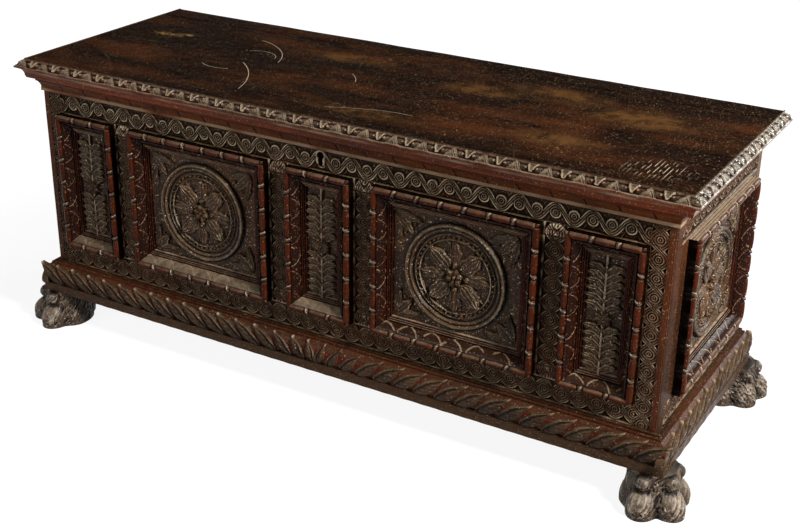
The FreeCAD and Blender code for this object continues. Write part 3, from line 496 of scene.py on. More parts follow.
# its colour for negative tint is nearly black: painted shade on the slopes of the raised mouldings and in the
# cornice nicks
polishedLook = {
    "dark": "#140401", "middle": "#2e0f05", "warm": "#3c1607", "pale": "#a08a6e", "red": "#3d1504",
    "dustAndPaintedShade": "#170602", "deep": "#030100", "dustColour": "#9a866c", "dust": 0.75, "rubAndHighlight": 0.5, "hollow": 0.95,
    "rough": (0.14, 0.3), "bump": 0.4, "flecksAndGlints": 0.35, "specular": 0.05,
}
corniceLook = {
    **polishedLook, "dark": "#1c0802", "middle": "#3a1605", "red": "#54270b", "dust": 0.35, "specular": 0.04,
}
plinthLook = {
    **carvedLook, "dark": "#180c05", "middle": "#301c0e", "warm": "#3e2411", "red": "#481204",
    "dustAndPaintedShade": "#3a281a", "dust": 0.08,
}
lobeLook = {
    **carvedLook, "dark": "#1b1009", "middle": "#3a2a1d", "warm": "#44301f", "dust": 0.2, "rubAndHighlight": 0.8,
    "ridge": (0.3, 1.7),
}
edgeLook = {
    **carvedLook, "dark": "#130803", "middle": "#301709", "pale": "#b39c80", "red": "#6a2b0c",
    "dustColour": "#7a6a56", "dust": 0.75, "rubAndHighlight": 0.9, "ridge": (0.5, 1.9), "specular": 0.08,
}
# a paler copy of the lid edge look for the ends: painted light
litEndEdgeLook = {
    **edgeLook, "dark": "#1f1610", "middle": "#4a3f35", "warm": "#574a3d", "pale": "#aaa296",
    "dustColour": "#918775", "rubAndHighlight": 0.95, "rough": (0.12, 0.3), "specular": 0.4,
}
knotLook = {
    **polishedLook, "middle": "#2c1a0d", "warm": "#3a2411", "pale": "#b8a68c", "rubAndHighlight": 0.35, "flecksAndGlints": 0.8,
    "rough": (0.2, 0.3), "specular": 0.25,
}
lidLook = {
    "dark": "#060201", "middle": "#1f0e06", "warm": "#42210c", "pale": "#93805f", "red": "#4a2412",
    "dustAndPaintedShade": "#2c221a", "deep": "#060301", "dustColour": "#1c120b", "dust": 0.1, "rubAndHighlight": 0.6, "hollow": 0.8,
    "rough": (0.3, 0.5), "flecksAndGlints": 0.75, "specular": 0.012,
}
footLook = {
    "dark": "#150c06", "middle": "#453628", "warm": "#382819", "pale": "#a39380", "red": "#4a2a18",
    "dustAndPaintedShade": "#1a100a", "deep": "#040100", "dustColour": "#8a7b6b", "dust": 0.5, "rubAndHighlight": 0.75, "hollow": 1.0,
    "rough": (0.22, 0.5), "bump": 1.0, "flecksAndGlints": 0.9, "specular": 0.16, "mottleScale": 130.0,
}
plainLook = {
    "dark": "#33251a", "middle": "#523d2b", "warm": "#5c422b", "pale": "#9c8870", "red": "#5c3a22",
    "dustAndPaintedShade": "#6a5a48", "deep": "#1c130c", "dustColour": "#75675a", "dust": 0.35, "rubAndHighlight": 0.3, "hollow": 0.6,
    "rough": (0.6, 0.8), "bump": 0.7, "specular": 0.3,
}
# carved walnut with the grain along the rails, upright or across: brown-black, its ridges dust-grey, rubbed
# and painted with highlights
carvedWood = {axis: woodMaterial("carvedWalnut" + axis, axis, carvedLook) for axis in "XYZ"}
# the top rail, rubbed by hands, with paler painted highlights on its ridges where it catches the most light
topRailWood = woodMaterial("topRailWalnut", "X", topRailLook)
# the leaves of the panels, with less rubbed paleness and painted highlight than the frames
leafWood = woodMaterial("leafWalnut", "Z", leafLook)
# the sunk boards and turned rings behind the leaves
panelWood = woodMaterial("panelWalnut", "Z", panelLook)
# rubbed and waxed walnut, the redder and shinier of the two
polishedWood = woodMaterial("polishedWalnut", "Z", polishedLook)
# the same with more red, where the light has bleached it
corniceWood = woodMaterial("corniceWalnut", "X", corniceLook)
# brown base moulding with deep red left in its grooves
plinthWood = {axis: woodMaterial("plinthWalnut" + axis, axis, plinthLook) for axis in "XY"}
# the gadroons on it, rubbed grey, with painted highlights on their rims and points
lobeWood = woodMaterial("gadroonWalnut", "Z", lobeLook)
# the small bands that bind the beads, rubbed and painted with highlights to a light grey-brown
knotWood = woodMaterial("knotWalnut", "X", knotLook)
# carved edge of the lid, rubbed grey and painted with highlights on everything that stands proud
edgeWood = woodMaterial("edgeWalnut", "X", edgeLook)
# the same on the ends, painted a pale grey near white and given more shine: a lit copy, painted light for the
# bright light on the ends
litEndEdgeWood = woodMaterial("litEndEdgeWalnut", "Y", litEndEdgeLook)
# dark waxed boards with ochre worn patches, pale specks that are partly painted glints, and scratches
lidWood = woodMaterial("lidWalnut", "X", lidLook, lidMarks)
# dry carved walnut under dust, with little shine
footWood = woodMaterial("footWalnut", "Z", footLook)
# sawn and planed boards, unwaxed, as seen inside and behind
plainWood = {axis: woodMaterial("plainBoard" + axis, axis, plainLook) for axis in "XZ"}


def ironMaterial():
    # hand-forged iron: nearly black, unevenly dull, with a little brown rust
    material, tree, surface, add = newFinish("forgedIron")
    place = add("ShaderNodeTexCoord", out="Object")
    spots = add("noise", place, 120.0, 6.0, 0.65)  # about 8 mm
    hammer = add("noise", place, 260.0, 3.0, 0.55)  # about 4 mm
    bump = add("ShaderNodeBump", {"Strength": 0.5, "Distance": 0.001, "Height": hammer})
    colour = add("mix", add("range", spots, 0.5, 0.68), "#242120", "#4a2c1c")
    tree.links.new(colour, surface.inputs["Base Color"])
    tree.links.new(add("range", spots, 0.3, 0.7, 0.42, 0.8), surface.inputs["Roughness"])
    tree.links.new(bump, surface.inputs["Normal"])
    surface.inputs["Metallic"].default_value = 0.75
    return material


forgedIron = ironMaterial()
print("finishes made")

# Carving of the frames

bands = {"eyePitch": 34.4, "waveRise": 15.0, "strand": 3.7, "eyeRadius": 11.2, "eyeRing": 4.7,
         "ground": -4.4, "ridge": 0.4, "frontLength": 1342.0, "topMiddle": 515.5, "topHalf": 21.0,
         "lowMiddle": 170.0, "lowHalf": 22.0, "uprightHalf": 21.0, "stileMiddle": 670.5, "stileHalf": 15.5,
         "stripStart": 687.0, "endLength": 430.0, "endTopMiddle": 527.0, "endTopHalf": 30.0}


def strandRidges(distance, count):
    # parallel ridges side by side, centred on distance 0
    half = bands["strand"] * count / 2
    inside = np.abs(distance) < half
    phase = 2 * math.pi * distance / bands["strand"] + (0 if count % 2 else math.pi)
    return inside, np.where(inside, (0.5 + 0.5 * np.cos(phase)) ** 0.6, 0)


def interlace(along, across, pitch, crossing):
    # running scroll: concentric eyes on the middle line and a band of strands that winds between
    # them; crossing adds the second band that passes over and under the first
    turn = math.pi * along / pitch
    rise = bands["waveRise"]
    slope = np.sqrt(1 + (rise * math.pi / pitch * np.sin(turn)) ** 2)
    first, firstRidge = strandRidges((across - rise * np.cos(turn)) / slope, 3)
    ridge = firstRidge
    covered = first
    if crossing:
        second, secondRidge = strandRidges((across + rise * np.cos(turn)) / slope, 3)
        ridge = np.where(first & second, np.where(np.sin(turn) > 0, firstRidge, secondRidge),
                         np.maximum(firstRidge, secondRidge))
        covered = first | second
    nearest = fromWhole(along / pitch) * pitch
    radius = np.hypot(nearest, across)
    eye = radius < bands["eyeRadius"]
    rings = (0.5 + 0.5 * np.cos(2 * math.pi * radius / bands["eyeRing"])) ** 0.7
    ridge = np.where(eye, rings + 0.25 * (radius < bands["eyeRing"] / 2), ridge)
    covered = covered | eye
    wide, echo = strandRidges((across - rise * np.cos(turn)) / slope, 7)
    depth = bands["ground"] * (1 - 0.45 * covered - 0.4 * echo * (wide & ~covered))
    return depth + (bands["ridge"] - depth) * np.clip(ridge, 0, 1.1)


def evenPitch(length, pitch):
    return length / max(1, round(length / pitch))


def bandRelief(along, across, half, pitch, crossing):
    # the interlace between two narrow plain borders
    return interlace(along, across, pitch, crossing) * smoothStep(half, half - 1.6, np.abs(across))


def frontRelief(x, z):
    c = chest
    out = np.full_like(x, 0.0)
    pitch = evenPitch(bands["frontLength"], bands["eyePitch"])
    top = bandRelief(x, z - bands["topMiddle"], bands["topHalf"], pitch, False)
    low = bandRelief(x, z - bands["lowMiddle"], bands["lowHalf"], pitch, True)
    between = np.abs(x) < bands["stripStart"]
    out = np.where(between & (np.abs(z - bands["topMiddle"]) < bands["topHalf"]), top, out)
    out = np.where(between & (np.abs(z - bands["lowMiddle"]) < bands["lowHalf"]), low, out)
    inUpright = (z > c["panelLow"]) & (z < c["panelHigh"])
    uprightPitch = evenPitch(c["panelHigh"] - c["panelLow"], bands["eyePitch"])
    rise = z - c["panelLow"] - uprightPitch / 2
    for middle in c["muntinMiddles"]:
        near = inUpright & (np.abs(x - middle) < bands["uprightHalf"])
        out = np.where(near, bandRelief(rise, x - middle, bands["uprightHalf"], uprightPitch, True), out)
    for side in (-1, 1):
        across = x * side - bands["stileMiddle"]
        near = (z > c["plinthTop"]) & (z < c["corniceLow"]) & (np.abs(across) < bands["stileHalf"])
        pitch = evenPitch(c["corniceLow"] - c["plinthTop"], bands["eyePitch"])
        stile = bandRelief(z - c["plinthTop"] - 6, across, bands["stileHalf"], pitch, True)
        out = np.where(near, stile, out)
    arris = c["halfLength"] - np.abs(x)
    out = np.where(arris < 3.0, -1.2 * smoothStep(3.0, 0.0, arris), out)
    out = np.where((arris > 3.0) & (arris < 4.6), -0.9, out)
    return out + 0.25 * waves(x, z, 3, 90)


def frontTint(x, z):
    # the plain strip at the corner of the chest is worn to a lighter brown
    return 0.45 * smoothStep(685.5, 687.5, np.abs(x)) * smoothStep(699.0, 697.0, np.abs(x))


def seamed(relief, across, up):
    # a fine open joint round the edges of a member
    def edged(u, v):
        gap = np.minimum(np.minimum(u - across[0], across[1] - u), np.minimum(v - up[0], up[1] - v))
        return relief(u, v) - 0.7 * smoothStep(1.6, 0.0, gap)
    return edged


def inKeyhole(x, z, margin=0.0):
    stem = (np.abs(x) < 3.9 + margin) & (z > 503 - margin) & (z < 525)
    return (np.hypot(x, z - 524.5) < 6.4 + margin) | stem


def frontFrame():
    c = chest
    inner, outer, half = c["stileInner"], c["halfLength"], c["muntinHalf"]
    members = {"front_top_rail": ((-inner, inner), (c["openingHigh"], c["rimTop"]), "X"),
               "front_bottom_rail": ((-inner, inner), (c["plinthTop"], c["openingLow"]), "X"),
               "front_stile_left": ((-outer, -inner), (c["plinthTop"], c["rimTop"]), "Z"),
               "front_stile_right": ((inner, outer), (c["plinthTop"], c["rimTop"]), "Z")}
    for number, middle in enumerate(c["muntinMiddles"]):
        members["front_muntin_%d" % (number + 1)] = (
            (middle - half, middle + half), (c["openingLow"], c["openingHigh"]), "Z")
    fineUp = [(c["plinthTop"], 193.5), (494.0, c["corniceLow"])]
    for name, (across, up, grain) in members.items():
        relief = seamed(frontRelief, across, up)
        middle = sum(across) / 2
        fineAcross = [(middle - 22, middle + 22)] if "muntin" in name else None
        if name == "front_top_rail":
            def relief(u, v, plain=relief):
                return plain(u, v) - 24.0 * inKeyhole(u, v)
        shape = reliefBlock(across, up, c["frameThickness"], relief, detail["rail"], frontTint, fineAcross,
                            None if grain == "Z" else fineUp)
        if name == "front_top_rail":
            # the keyhole and a 1.4 mm margin round it painted black: painted shade in the hole
            dark = inKeyhole(shape["points"][:, 0], shape["points"][:, 1], 1.4)
            shape["cavity"] = np.where(dark, -3.0, shape["cavity"])
            shape["tint"] = np.where(dark, -2.0, shape["tint"])
        wood = topRailWood if name == "front_top_rail" else carvedWood[grain]
        toObject(name + "_look", moved(shape, onFront), wood, "chest", "carved_walnut", [name])


def endRelief(y, z):
    b = bands
    pitch = evenPitch(b["endLength"], b["eyePitch"])
    along = y + b["endLength"] / 2
    top = bandRelief(along, z - b["endTopMiddle"], b["endTopHalf"], pitch, True)
    low = bandRelief(along, z - b["lowMiddle"], b["lowHalf"], pitch, True)
    out = np.where(np.abs(z - b["endTopMiddle"]) < b["endTopHalf"], top, 0.0)
    return np.where(np.abs(z - b["lowMiddle"]) < b["lowHalf"], low, out) + 0.25 * waves(y, z, 5, 80)


def endFrames():
    c = chest
    inner = c["endStileInner"]
    members = {"end_top_rail": ((-inner, inner), (c["openingHigh"], c["rimTop"]), "Y"),
               "end_bottom_rail": ((-inner, inner), (c["plinthTop"], c["openingLow"]), "Y"),
               "end_stile_front": ((c["endFront"], -inner), (c["plinthTop"], c["rimTop"]), "Z"),
               "end_stile_rear": ((inner, c["endRear"]), (c["plinthTop"], c["rimTop"]), "Z")}
    for name, (across, up, grain) in members.items():
        relief = seamed(endRelief, across, up)
        shape = reliefBlock(across, up, c["frameThickness"], relief, detail["rail"] * 1.6)
        bothSides(name, moved(shape, onRightEnd), carvedWood[grain], "carved_walnut")


# Carved panels

medallion = {"ringRadius": 97.5, "pearlRadius": 78.0, "relief": 9.5}


def ridgeAt(distance, half):
    return np.sqrt(np.clip(1 - (distance / half) ** 2, 0, 1))


def tooledGround(u, v, seed):
    # uneven ground with small punched dots
    dots = np.hypot((u / 5.2 + 0.5 * (np.round(v / 4.6) % 2)) % 1 - 0.5, (v / 4.6) % 1 - 0.5)
    uneven = 0.3 + 0.7 * waves(u, v, seed, 16) + 0.5 * waves(u, v, seed + 1, 7)
    return uneven - 0.9 * smoothStep(0.36, 0.12, dots)


def medallionRelief(u, v):
    # the turned rings and the tooled ground; leaves and pearls stand on it
    m = medallion
    radius = np.hypot(u, v)
    turn = np.arctan2(v, u)
    out = tooledGround(u, v, 11)
    bowl = (radius > m["pearlRadius"] + 3) & (radius < m["ringRadius"] - 8)
    out = np.where(bowl, 1.4 + 1.0 * ((radius - 85) / 6) ** 2 + 0.3 * waves(u, v, 13, 20), out)
    lap = 0.9 * np.sin(2 * turn + 0.7) + 0.6 * waves(u, v, 17, 45)
    for at, half, tall in ((m["ringRadius"] + 2.4, 4.2, 9.0), (m["ringRadius"] - 5.2, 3.4, 7.2),
                           (m["pearlRadius"] - 4.6, 1.6, 4.4), (m["pearlRadius"] + 4.4, 1.5, 4.2)):
        near = np.abs(radius - at) < half
        out = np.where(near, tall * 0.35 + tall * 0.65 * ridgeAt(radius - at, half) + lap, out)
    return np.minimum(out, m["relief"]) - chest["panelRecess"]


def sprayRelief(u, v):
    # tooled ground behind the leaves, with the upright stem
    stem = 2.4 + 0.8 * np.cos(v / 9)
    out = np.where(np.abs(u) < stem, 3.4 + 2.0 * ridgeAt(u, 3.6), tooledGround(u, v, 14))
    return out - chest["panelRecess"]


panelSpans = [(-655.0, -509.0), (-461.0, -121.0), (-73.0, 73.0), (121.0, 461.0), (509.0, 655.0)]
panelMiddle = (chest["panelLow"] + chest["panelHigh"]) / 2
panelHalfUp = (chest["panelHigh"] - chest["panelLow"]) / 2
panelGround = -chest["panelRecess"]


def panels():
    c = chest
    halfUp = (c["openingHigh"] - c["openingLow"]) / 2 + 10
    for number, (left, right) in enumerate(panelSpans):
        middle, half = (left + right) / 2, (right - left) / 2 - 14
        relief = medallionRelief if half > 100 else sprayRelief
        name = "front_panel_%d" % (number + 1)
        shape = reliefBlock((-half, half), (-halfUp, halfUp), c["panelThickness"], relief, detail["panel"])
        shape = shifted(shape, middle, panelMiddle, 0)
        toObject(name + "_look", moved(shape, onFront), panelWood, "chest", "carved_walnut", [name])
    half = c["endPanelHalf"] - 14
    shape = reliefBlock((-half, half), (-halfUp, halfUp), c["panelThickness"], medallionRelief,
                        detail["panel"] * 1.2)
    shape = shifted(shape, 0, panelMiddle, 0)
    bothSides("end_panel", moved(shape, onRightEnd), panelWood, "carved_walnut")


# Raised mouldings round the panels

# the knot pitch, and for each front panel the strength of the painted shade on the slope of its bottom stick;
# the other sticks get the full strength
moulding = {"knotPitch": 47.0, "dustAndPaintedShade": (-0.55, -0.5, -0.45, -0.88, -0.85)}
mouldingSteps = [(0, 0), (0, 16), ((6, 22), (12, 16)), (12.6, 13.5), (14, 13.5), (14, 18),
                 ((22.25, 11.75), (28, 3)), (28, 1), ((29.6, 2.4), (31.2, 0.6)), (31.2, -0.4),
                 ((33.0, 1.0), (34.8, -1.2)), (34.8, -2.4), ((36.9, -1.4), (39, -3.6)),
                 (39, -6), (24.2, -6), (24.2, 0)]


def mouldingCarve(length, ledge=False, slope=-1.0):
    pitch = evenPitch(length, moulding["knotPitch"])

    def carve(along, zone, share):
        near = fromWhole(along / pitch) * pitch
        barrel = 0.5 * np.cos(2 * math.pi * along / pitch + math.pi)
        notch = -2.6 * np.exp(-((np.abs(near) - 5.2) / 1.7) ** 2)
        offset = np.where(zone == 1, barrel + notch, 0.0)
        skew = 5.0 * waves(along, 0 * along, 24, 70) + 22 * (share - 0.5) ** 2
        first = along + (share - 0.5) * 24 + skew
        second = along - (share - 0.5) * 20 - skew
        cut = np.maximum(ridgeAt(fromWhole(first / pitch) * pitch, 1.4),
                         ridgeAt(fromWhole(second / pitch - 0.35) * pitch, 1.3))
        patchy = waves(along, share * 20, 26, 55) > -0.55
        cut = np.where((zone == 5) & (share > 0.05) & (share < 0.95) & patchy, cut, 0.0)
        # the bead and reeds redder; black painted in as shade on the outer side, in the quirk and on the
        # small steps between the reeds; the slope gets its negative tint as painted shade
        tint = np.select([zone == 1, zone == 7, (zone == 9) | (zone == 11), zone == 5, zone > 11],
                         [1.0, 0.35, 0.2, slope, 0.0], -2.0)
        # on the top stick of the end moulding: two grooves along its outer face painted black as shade, and
        # the rest of that face painted pale as a highlight from the light above
        if ledge:
            lines = np.maximum(ridgeAt(share - 0.3, 0.07), ridgeAt(share - 0.62, 0.07))
            offset = np.where(zone == 0, -0.8 * lines, offset)
            tint = np.where(zone == 0, np.where(lines > 0.3, -2.0, 1.9), tint)
        return offset - 0.8 * cut, np.where(cut > 0.45, 2.0, tint)
    return carve


def mouldingFrame(halfAcross, halfUp, ledge=False, dustAndPaintedShade=-1.0):
    sticks = []
    corners = [((-halfAcross, -halfUp), (1, 0), (0, 1), halfAcross * 2),
               ((halfAcross, -halfUp), (0, 1), (-1, 0), halfUp * 2),
               ((halfAcross, halfUp), (-1, 0), (0, -1), halfAcross * 2),
               ((-halfAcross, halfUp), (0, -1), (1, 0), halfUp * 2)]
    for start, ahead, inward, length in corners:
        top = ledge and inward == (0, -1)
        carve = mouldingCarve(length, top, dustAndPaintedShade if inward == (0, 1) else -1.0)
        shape = sweep(mouldingSteps, detail["profile"], length, (0, 1, -1), carve, detail["stick"],
                      (0, 1, 5) if top else (1, 5))
        p = shape["points"]
        flat = np.array(start) + p[:, :1] * np.array(ahead) + p[:, 1:2] * np.array(inward)
        shape["points"] = np.concatenate([flat, p[:, 2:]], 1)
        sticks.append(shape)
    return joined(sticks)


def panelMouldings():
    for number, (left, right) in enumerate(panelSpans):
        name = "front_moulding_%d" % (number + 1)
        shape = mouldingFrame((right - left) / 2, panelHalfUp, dustAndPaintedShade=moulding["dustAndPaintedShade"][number])
        shape = shifted(shape, (left + right) / 2, panelMiddle, 0)
        toObject(name + "_look", moved(shape, onFront), polishedWood, "chest", "polished_walnut", [name])
    shape = mouldingFrame(chest["endPanelHalf"], panelHalfUp, ledge=True)
    shape = shifted(shape, 0, panelMiddle, 0)
    bothSides("end_moulding", moved(shape, onRightEnd), polishedWood, "polished_walnut")


# Repeated ornament, spread by a node tree

def domedGrid(x, y, z, under):
    # a closed shape under a raised grid, with a flat bottom at the height called under
    rows, columns = z.shape
    top = np.stack([x, y, z], -1).reshape(-1, 3)
    index = np.arange(rows * columns).reshape(rows, columns)
    border = borderOf(index)
    low = np.concatenate([top[border], top[index[rows // 2, columns // 2]][None]])
    low[:, 2] = under
    ring = len(top) + np.arange(len(border))
    ringNext = np.roll(ring, -1)
    sides = np.stack([border, np.roll(border, -1), ringNext, ring], -1)
    fan = np.stack([np.full(len(ring), ring[-1] + 1), ring, ringNext], -1)
    cavity = (z - blurred(z, 2)) * 0.7
    return {"points": np.concatenate([top, low]), "faces": [gridQuads(index)[:, ::-1], sides, fan],
            "cavity": np.concatenate([cavity.ravel(), np.zeros(len(low))])}


def leafShape(length, width, rise, ribs=5, curl=2.0, bend=0.0, lobes=4):
    # a fluted leaf on the plane z = 0, its root at the origin and its tip along +X; bend turns
    # its line sideways and curl lifts its tip
    rows, columns = ((20, 15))
    share = np.linspace(0, 1, rows)[:, None]
    side = np.linspace(-1, 1, columns)[None]
    half = width / 2 * np.sin(math.pi * np.clip(share, 0.03, 0.97) ** 0.85) ** 0.7
    half = half * (1 + 0.13 * np.cos(2 * math.pi * lobes * share + math.pi))
    turn = bend * share
    pathX = length * (np.sinc(turn / math.pi) * share)
    sideways = (1 - np.cos(turn)) / np.where(turn == 0, 1, turn)
    pathY = length * share * np.where(np.abs(turn) < 1e-6, 0, sideways)
    x = pathX - half * side * np.sin(turn)
    y = pathY + half * side * np.cos(turn)
    dome = rise * (0.35 + 0.65 * np.sqrt(np.clip(1 - side ** 2, 0, 1)))
    dome = dome * np.sin(math.pi * np.clip(share, 0.06, 0.94)) ** 0.35
    flutes = 0.17 * rise * np.cos(math.pi * ribs * side)
    lift = curl * smoothStep(0.55, 0.9, share) * (1 - side ** 2)
    return domedGrid(x, y, dome + flutes + lift, -1.0)


def domeShape(radius, rise):
    # a round pearl on the plane z = 0
    turns, levels = ((12, 5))
    angle = np.linspace(0, 2 * math.pi, turns, endpoint=False)[None]
    level = np.linspace(0, math.pi / 2 * 0.94, levels)[:, None]
    points = np.stack([radius * np.cos(level) * np.cos(angle), radius * np.cos(level) * np.sin(angle),
                       rise * np.sin(level) + 0 * angle], -1)
    # darker at its foot and paler at its crown: painted shade where it meets the ground and a painted
    # highlight on top
    return {"points": points.reshape(-1, 3), "faces": tubeFaces(levels, turns),
            "cavity": np.repeat(np.linspace(-0.6, 0.8, levels) ** 3 * 2.0, turns)}


def station(place, ahead, outward, stretch=(1, 1, 1)):
    # one row for the node tree: where a unit shape stands, how it is turned and stretched
    z = Vector(outward).normalized()
    x = Vector(ahead).normalized()
    turn = Matrix((x, z.cross(x), z)).transposed().to_euler()
    return (*place, *turn, *stretch)


def onFace(face, u, v, w, direction):
    # a station on the front or the right end: across, up and outward, heading in degrees
    across, up = math.cos(math.radians(direction)), math.sin(math.radians(direction))
    if face == "front":
        return station((u, -chest["halfDepth"] - w, v), (across, 0, up), (0, -1, 0))
    return station((chest["halfLength"] + w, u, v), (0, across, up), (1, 0, 0))


def spreadTree():
    # places one unit shape at every point, turned and stretched by the points' own values
    tree = bpy.data.node_groups.new("spreadAlong", "GeometryNodeTree")
    sockets = [("Geometry", "NodeSocketGeometry"), ("unit", "NodeSocketObject"), ("size", "NodeSocketFloat"),
               ("unevenness", "NodeSocketFloat"), ("seed", "NodeSocketInt"), ("finish", "NodeSocketMaterial")]
    for label, kind in sockets:
        tree.interface.new_socket(label, in_out="INPUT", socket_type=kind)
    tree.interface.new_socket("Geometry", in_out="OUTPUT", socket_type="NodeSocketGeometry")
    add = partial(addNode, tree)
    given = tree.nodes.new("NodeGroupInput").outputs
    unit = add("GeometryNodeObjectInfo", {"Object": given["unit"]}, out="Geometry")
    turn, stretch = (add("GeometryNodeInputNamedAttribute", {"Name": label}, data_type="FLOAT_VECTOR")
                     for label in ("turn", "stretch"))
    low, high = (add(operation, 1.0, given["unevenness"]) for operation in ("SUBTRACT", "ADD"))
    random = add("FunctionNodeRandomValue", {2: low, 3: high, 8: given["seed"]}, data_type="FLOAT", out=1)
    amount = add("MULTIPLY", random, given["size"])
    scale = add("ShaderNodeVectorMath", {0: stretch, 3: amount}, operation="SCALE")
    placed = add("GeometryNodeInstanceOnPoints",
                 {"Points": given["Geometry"], "Instance": unit, "Rotation": turn, "Scale": scale})
    real = add("GeometryNodeRealizeInstances", placed)
    painted = add("GeometryNodeSetMaterial", {"Geometry": real, "Material": given["finish"]})
    add("NodeGroupOutput", painted)
    return tree


spread = spreadTree()


def withMirror(mesh):
    # adds the mirror image across the middle of the chest
    other = mesh.copy()
    other.transform(Matrix.Scale(-1, 4, (1, 0, 0)))
    other.flip_normals()
    both = bmesh.new()
    both.from_mesh(mesh)
    both.from_mesh(other)
    both.to_mesh(mesh)
    both.free()
    bpy.data.meshes.remove(other)


def spreadPieces(name, unitShape, stations, material, unevenness=0.04):
    # stations right of the middle only; the left half is their mirror image
    stations = np.asarray([row for row in stations if row[0] > 0.5], float)
    unit = toObject(name + "Unit", unitShape, material)
    mesh = bpy.data.meshes.new(name)
    mesh.from_pydata((stations[:, :3] * 0.001).tolist(), [], [])
    for label, columns in (("turn", slice(3, 6)), ("stretch", slice(6, 9))):
        attribute = mesh.attributes.new(label, "FLOAT_VECTOR", "POINT")
        values = np.ascontiguousarray(stations[:, columns], dtype=np.float32)
        attribute.data.foreach_set("vector", values.ravel())
    holder = bpy.data.objects.new(name + "Points", mesh)
    bpy.context.scene.collection.objects.link(holder)
    modifier = holder.modifiers.new("spread", "NODES")
    modifier.node_group = spread
    wanted = {"unit": unit, "size": 1.0, "unevenness": unevenness, "seed": 1, "finish": material}
    for item in spread.interface.items_tree:
        if item.in_out == "INPUT" and item.name in wanted:
            modifier[item.identifier] = wanted[item.name]
    bpy.context.view_layer.update()
    graph = bpy.context.evaluated_depsgraph_get()
    made = bpy.data.meshes.new_from_object(holder.evaluated_get(graph))
    made.name = name
    holder.modifiers.remove(modifier)
    for old in (holder, unit):
        bpy.data.objects.remove(old)
    withMirror(made)
    made.set_sharp_from_angle(angle=math.radians(60))
    piece = bpy.data.objects.new(name, made)
    bpy.context.scene.collection.objects.link(piece)
    keep(piece, "chest")


rosette = {"large": (56.0, 40.0, 7.0), "medium": (50.0, 27.0, 5.0), "spine": (46.0, 9.0, 4.0),
           "petal": (13.0, 12.0, 7.0), "curl": 4.0, "volute": 25.0, "pearls": 46}


def medallionStations():
    fronts = [(left + right) / 2 for left, right in panelSpans if right - left > 200]
    return [("front", middle) for middle in fronts] + [("end", 0.0)]


def roundStations(count, radius, offset=0.0, w=panelGround):
    rows = []
    for face, middle in medallionStations():
        for k in range(count):
            direction = 360 / count * (k + offset)
            angle = math.radians(direction)
            u, v = middle + radius * math.cos(angle), panelMiddle + radius * math.sin(angle)
            rows.append(onFace(face, u, v, w, direction))
    return rows


def rosettes():
    # four broad leaves on the diagonals, four narrower between them, volutes and a boss of pearls
    r = rosette
    medium = leafShape(*r["medium"], ribs=3, curl=r["curl"] * 0.6, lobes=3)
    large = leafShape(*r["large"], ribs=5, curl=r["curl"], lobes=2)
    spine = leafShape(*r["spine"], ribs=1, curl=0.6, lobes=1)
    petal = leafShape(*r["petal"], ribs=1, curl=1.5, lobes=1)
    for name, shape, rows in (("rosette_medium_leaves", medium, roundStations(4, 22.0)),
                              ("rosette_large_leaves", large, roundStations(4, 17.0, 0.5)),
                              ("rosette_spines", spine, roundStations(8, 25.0, 0.25)),
                              ("rosette_volutes", domeShape(6.0, 8.5), roundStations(4, r["volute"])),
                              ("rosette_petals", petal, roundStations(6, 4.5, 0.25, -3.0))):
        spreadPieces(name, shape, rows, leafWood)
    spreadPieces("rosette_hearts", domeShape(5.4, 11.0), roundStations(1, 0.0), corniceWood)
    pearls = roundStations(r["pearls"], medallion["pearlRadius"])
    spreadPieces("medallion_pearls", domeShape(3.0, 5.4), pearls, leafWood, unevenness=0.15)


def spandrels():
    # leaves and berries in the corners outside the rings
    large, small, berries = [], [], []
    for face, middle in medallionStations():
        halfAcross, halfUp = (131.0 if face == "front" else 137.0), 111.5
        for sideU in (-1, 1):
            for sideV in (-1, 1):
                cornerU, cornerV = middle + sideU * (halfAcross - 7), panelMiddle + sideV * (halfUp - 7)
                home = math.degrees(math.atan2(-sideV, -sideU))
                large.append(onFace(face, cornerU, cornerV, panelGround, home))
                for turn in (-1, 1):
                    small.append(onFace(face, cornerU, cornerV, panelGround, home + turn * 34))
                    away = math.radians(home + turn * 17)
                    for distance in (30.0, 43.0):
                        u, v = cornerU + distance * math.cos(away), cornerV + distance * math.sin(away)
                        berries.append(onFace(face, u, v, panelGround, 0))
    broad = leafShape(52.0, 24.0, 6.0, ribs=3, curl=2.4)
    slender = leafShape(56.0, 17.0, 5.0, ribs=3, curl=1.8)
    spreadPieces("spandrel_leaves", broad, large, leafWood)
    spreadPieces("spandrel_side_leaves", slender, small, leafWood)
    spreadPieces("spandrel_berries", domeShape(3.0, 4.6), berries, leafWood, unevenness=0.2)


spray = {"leaf": (37.0, 19.0, 6.5), "petal": (19.0, 10.0, 6.0), "pairs": 14, "lowest": -112.0,
         "pitch": 14.6, "heading": 56.0, "bend": 1.1}


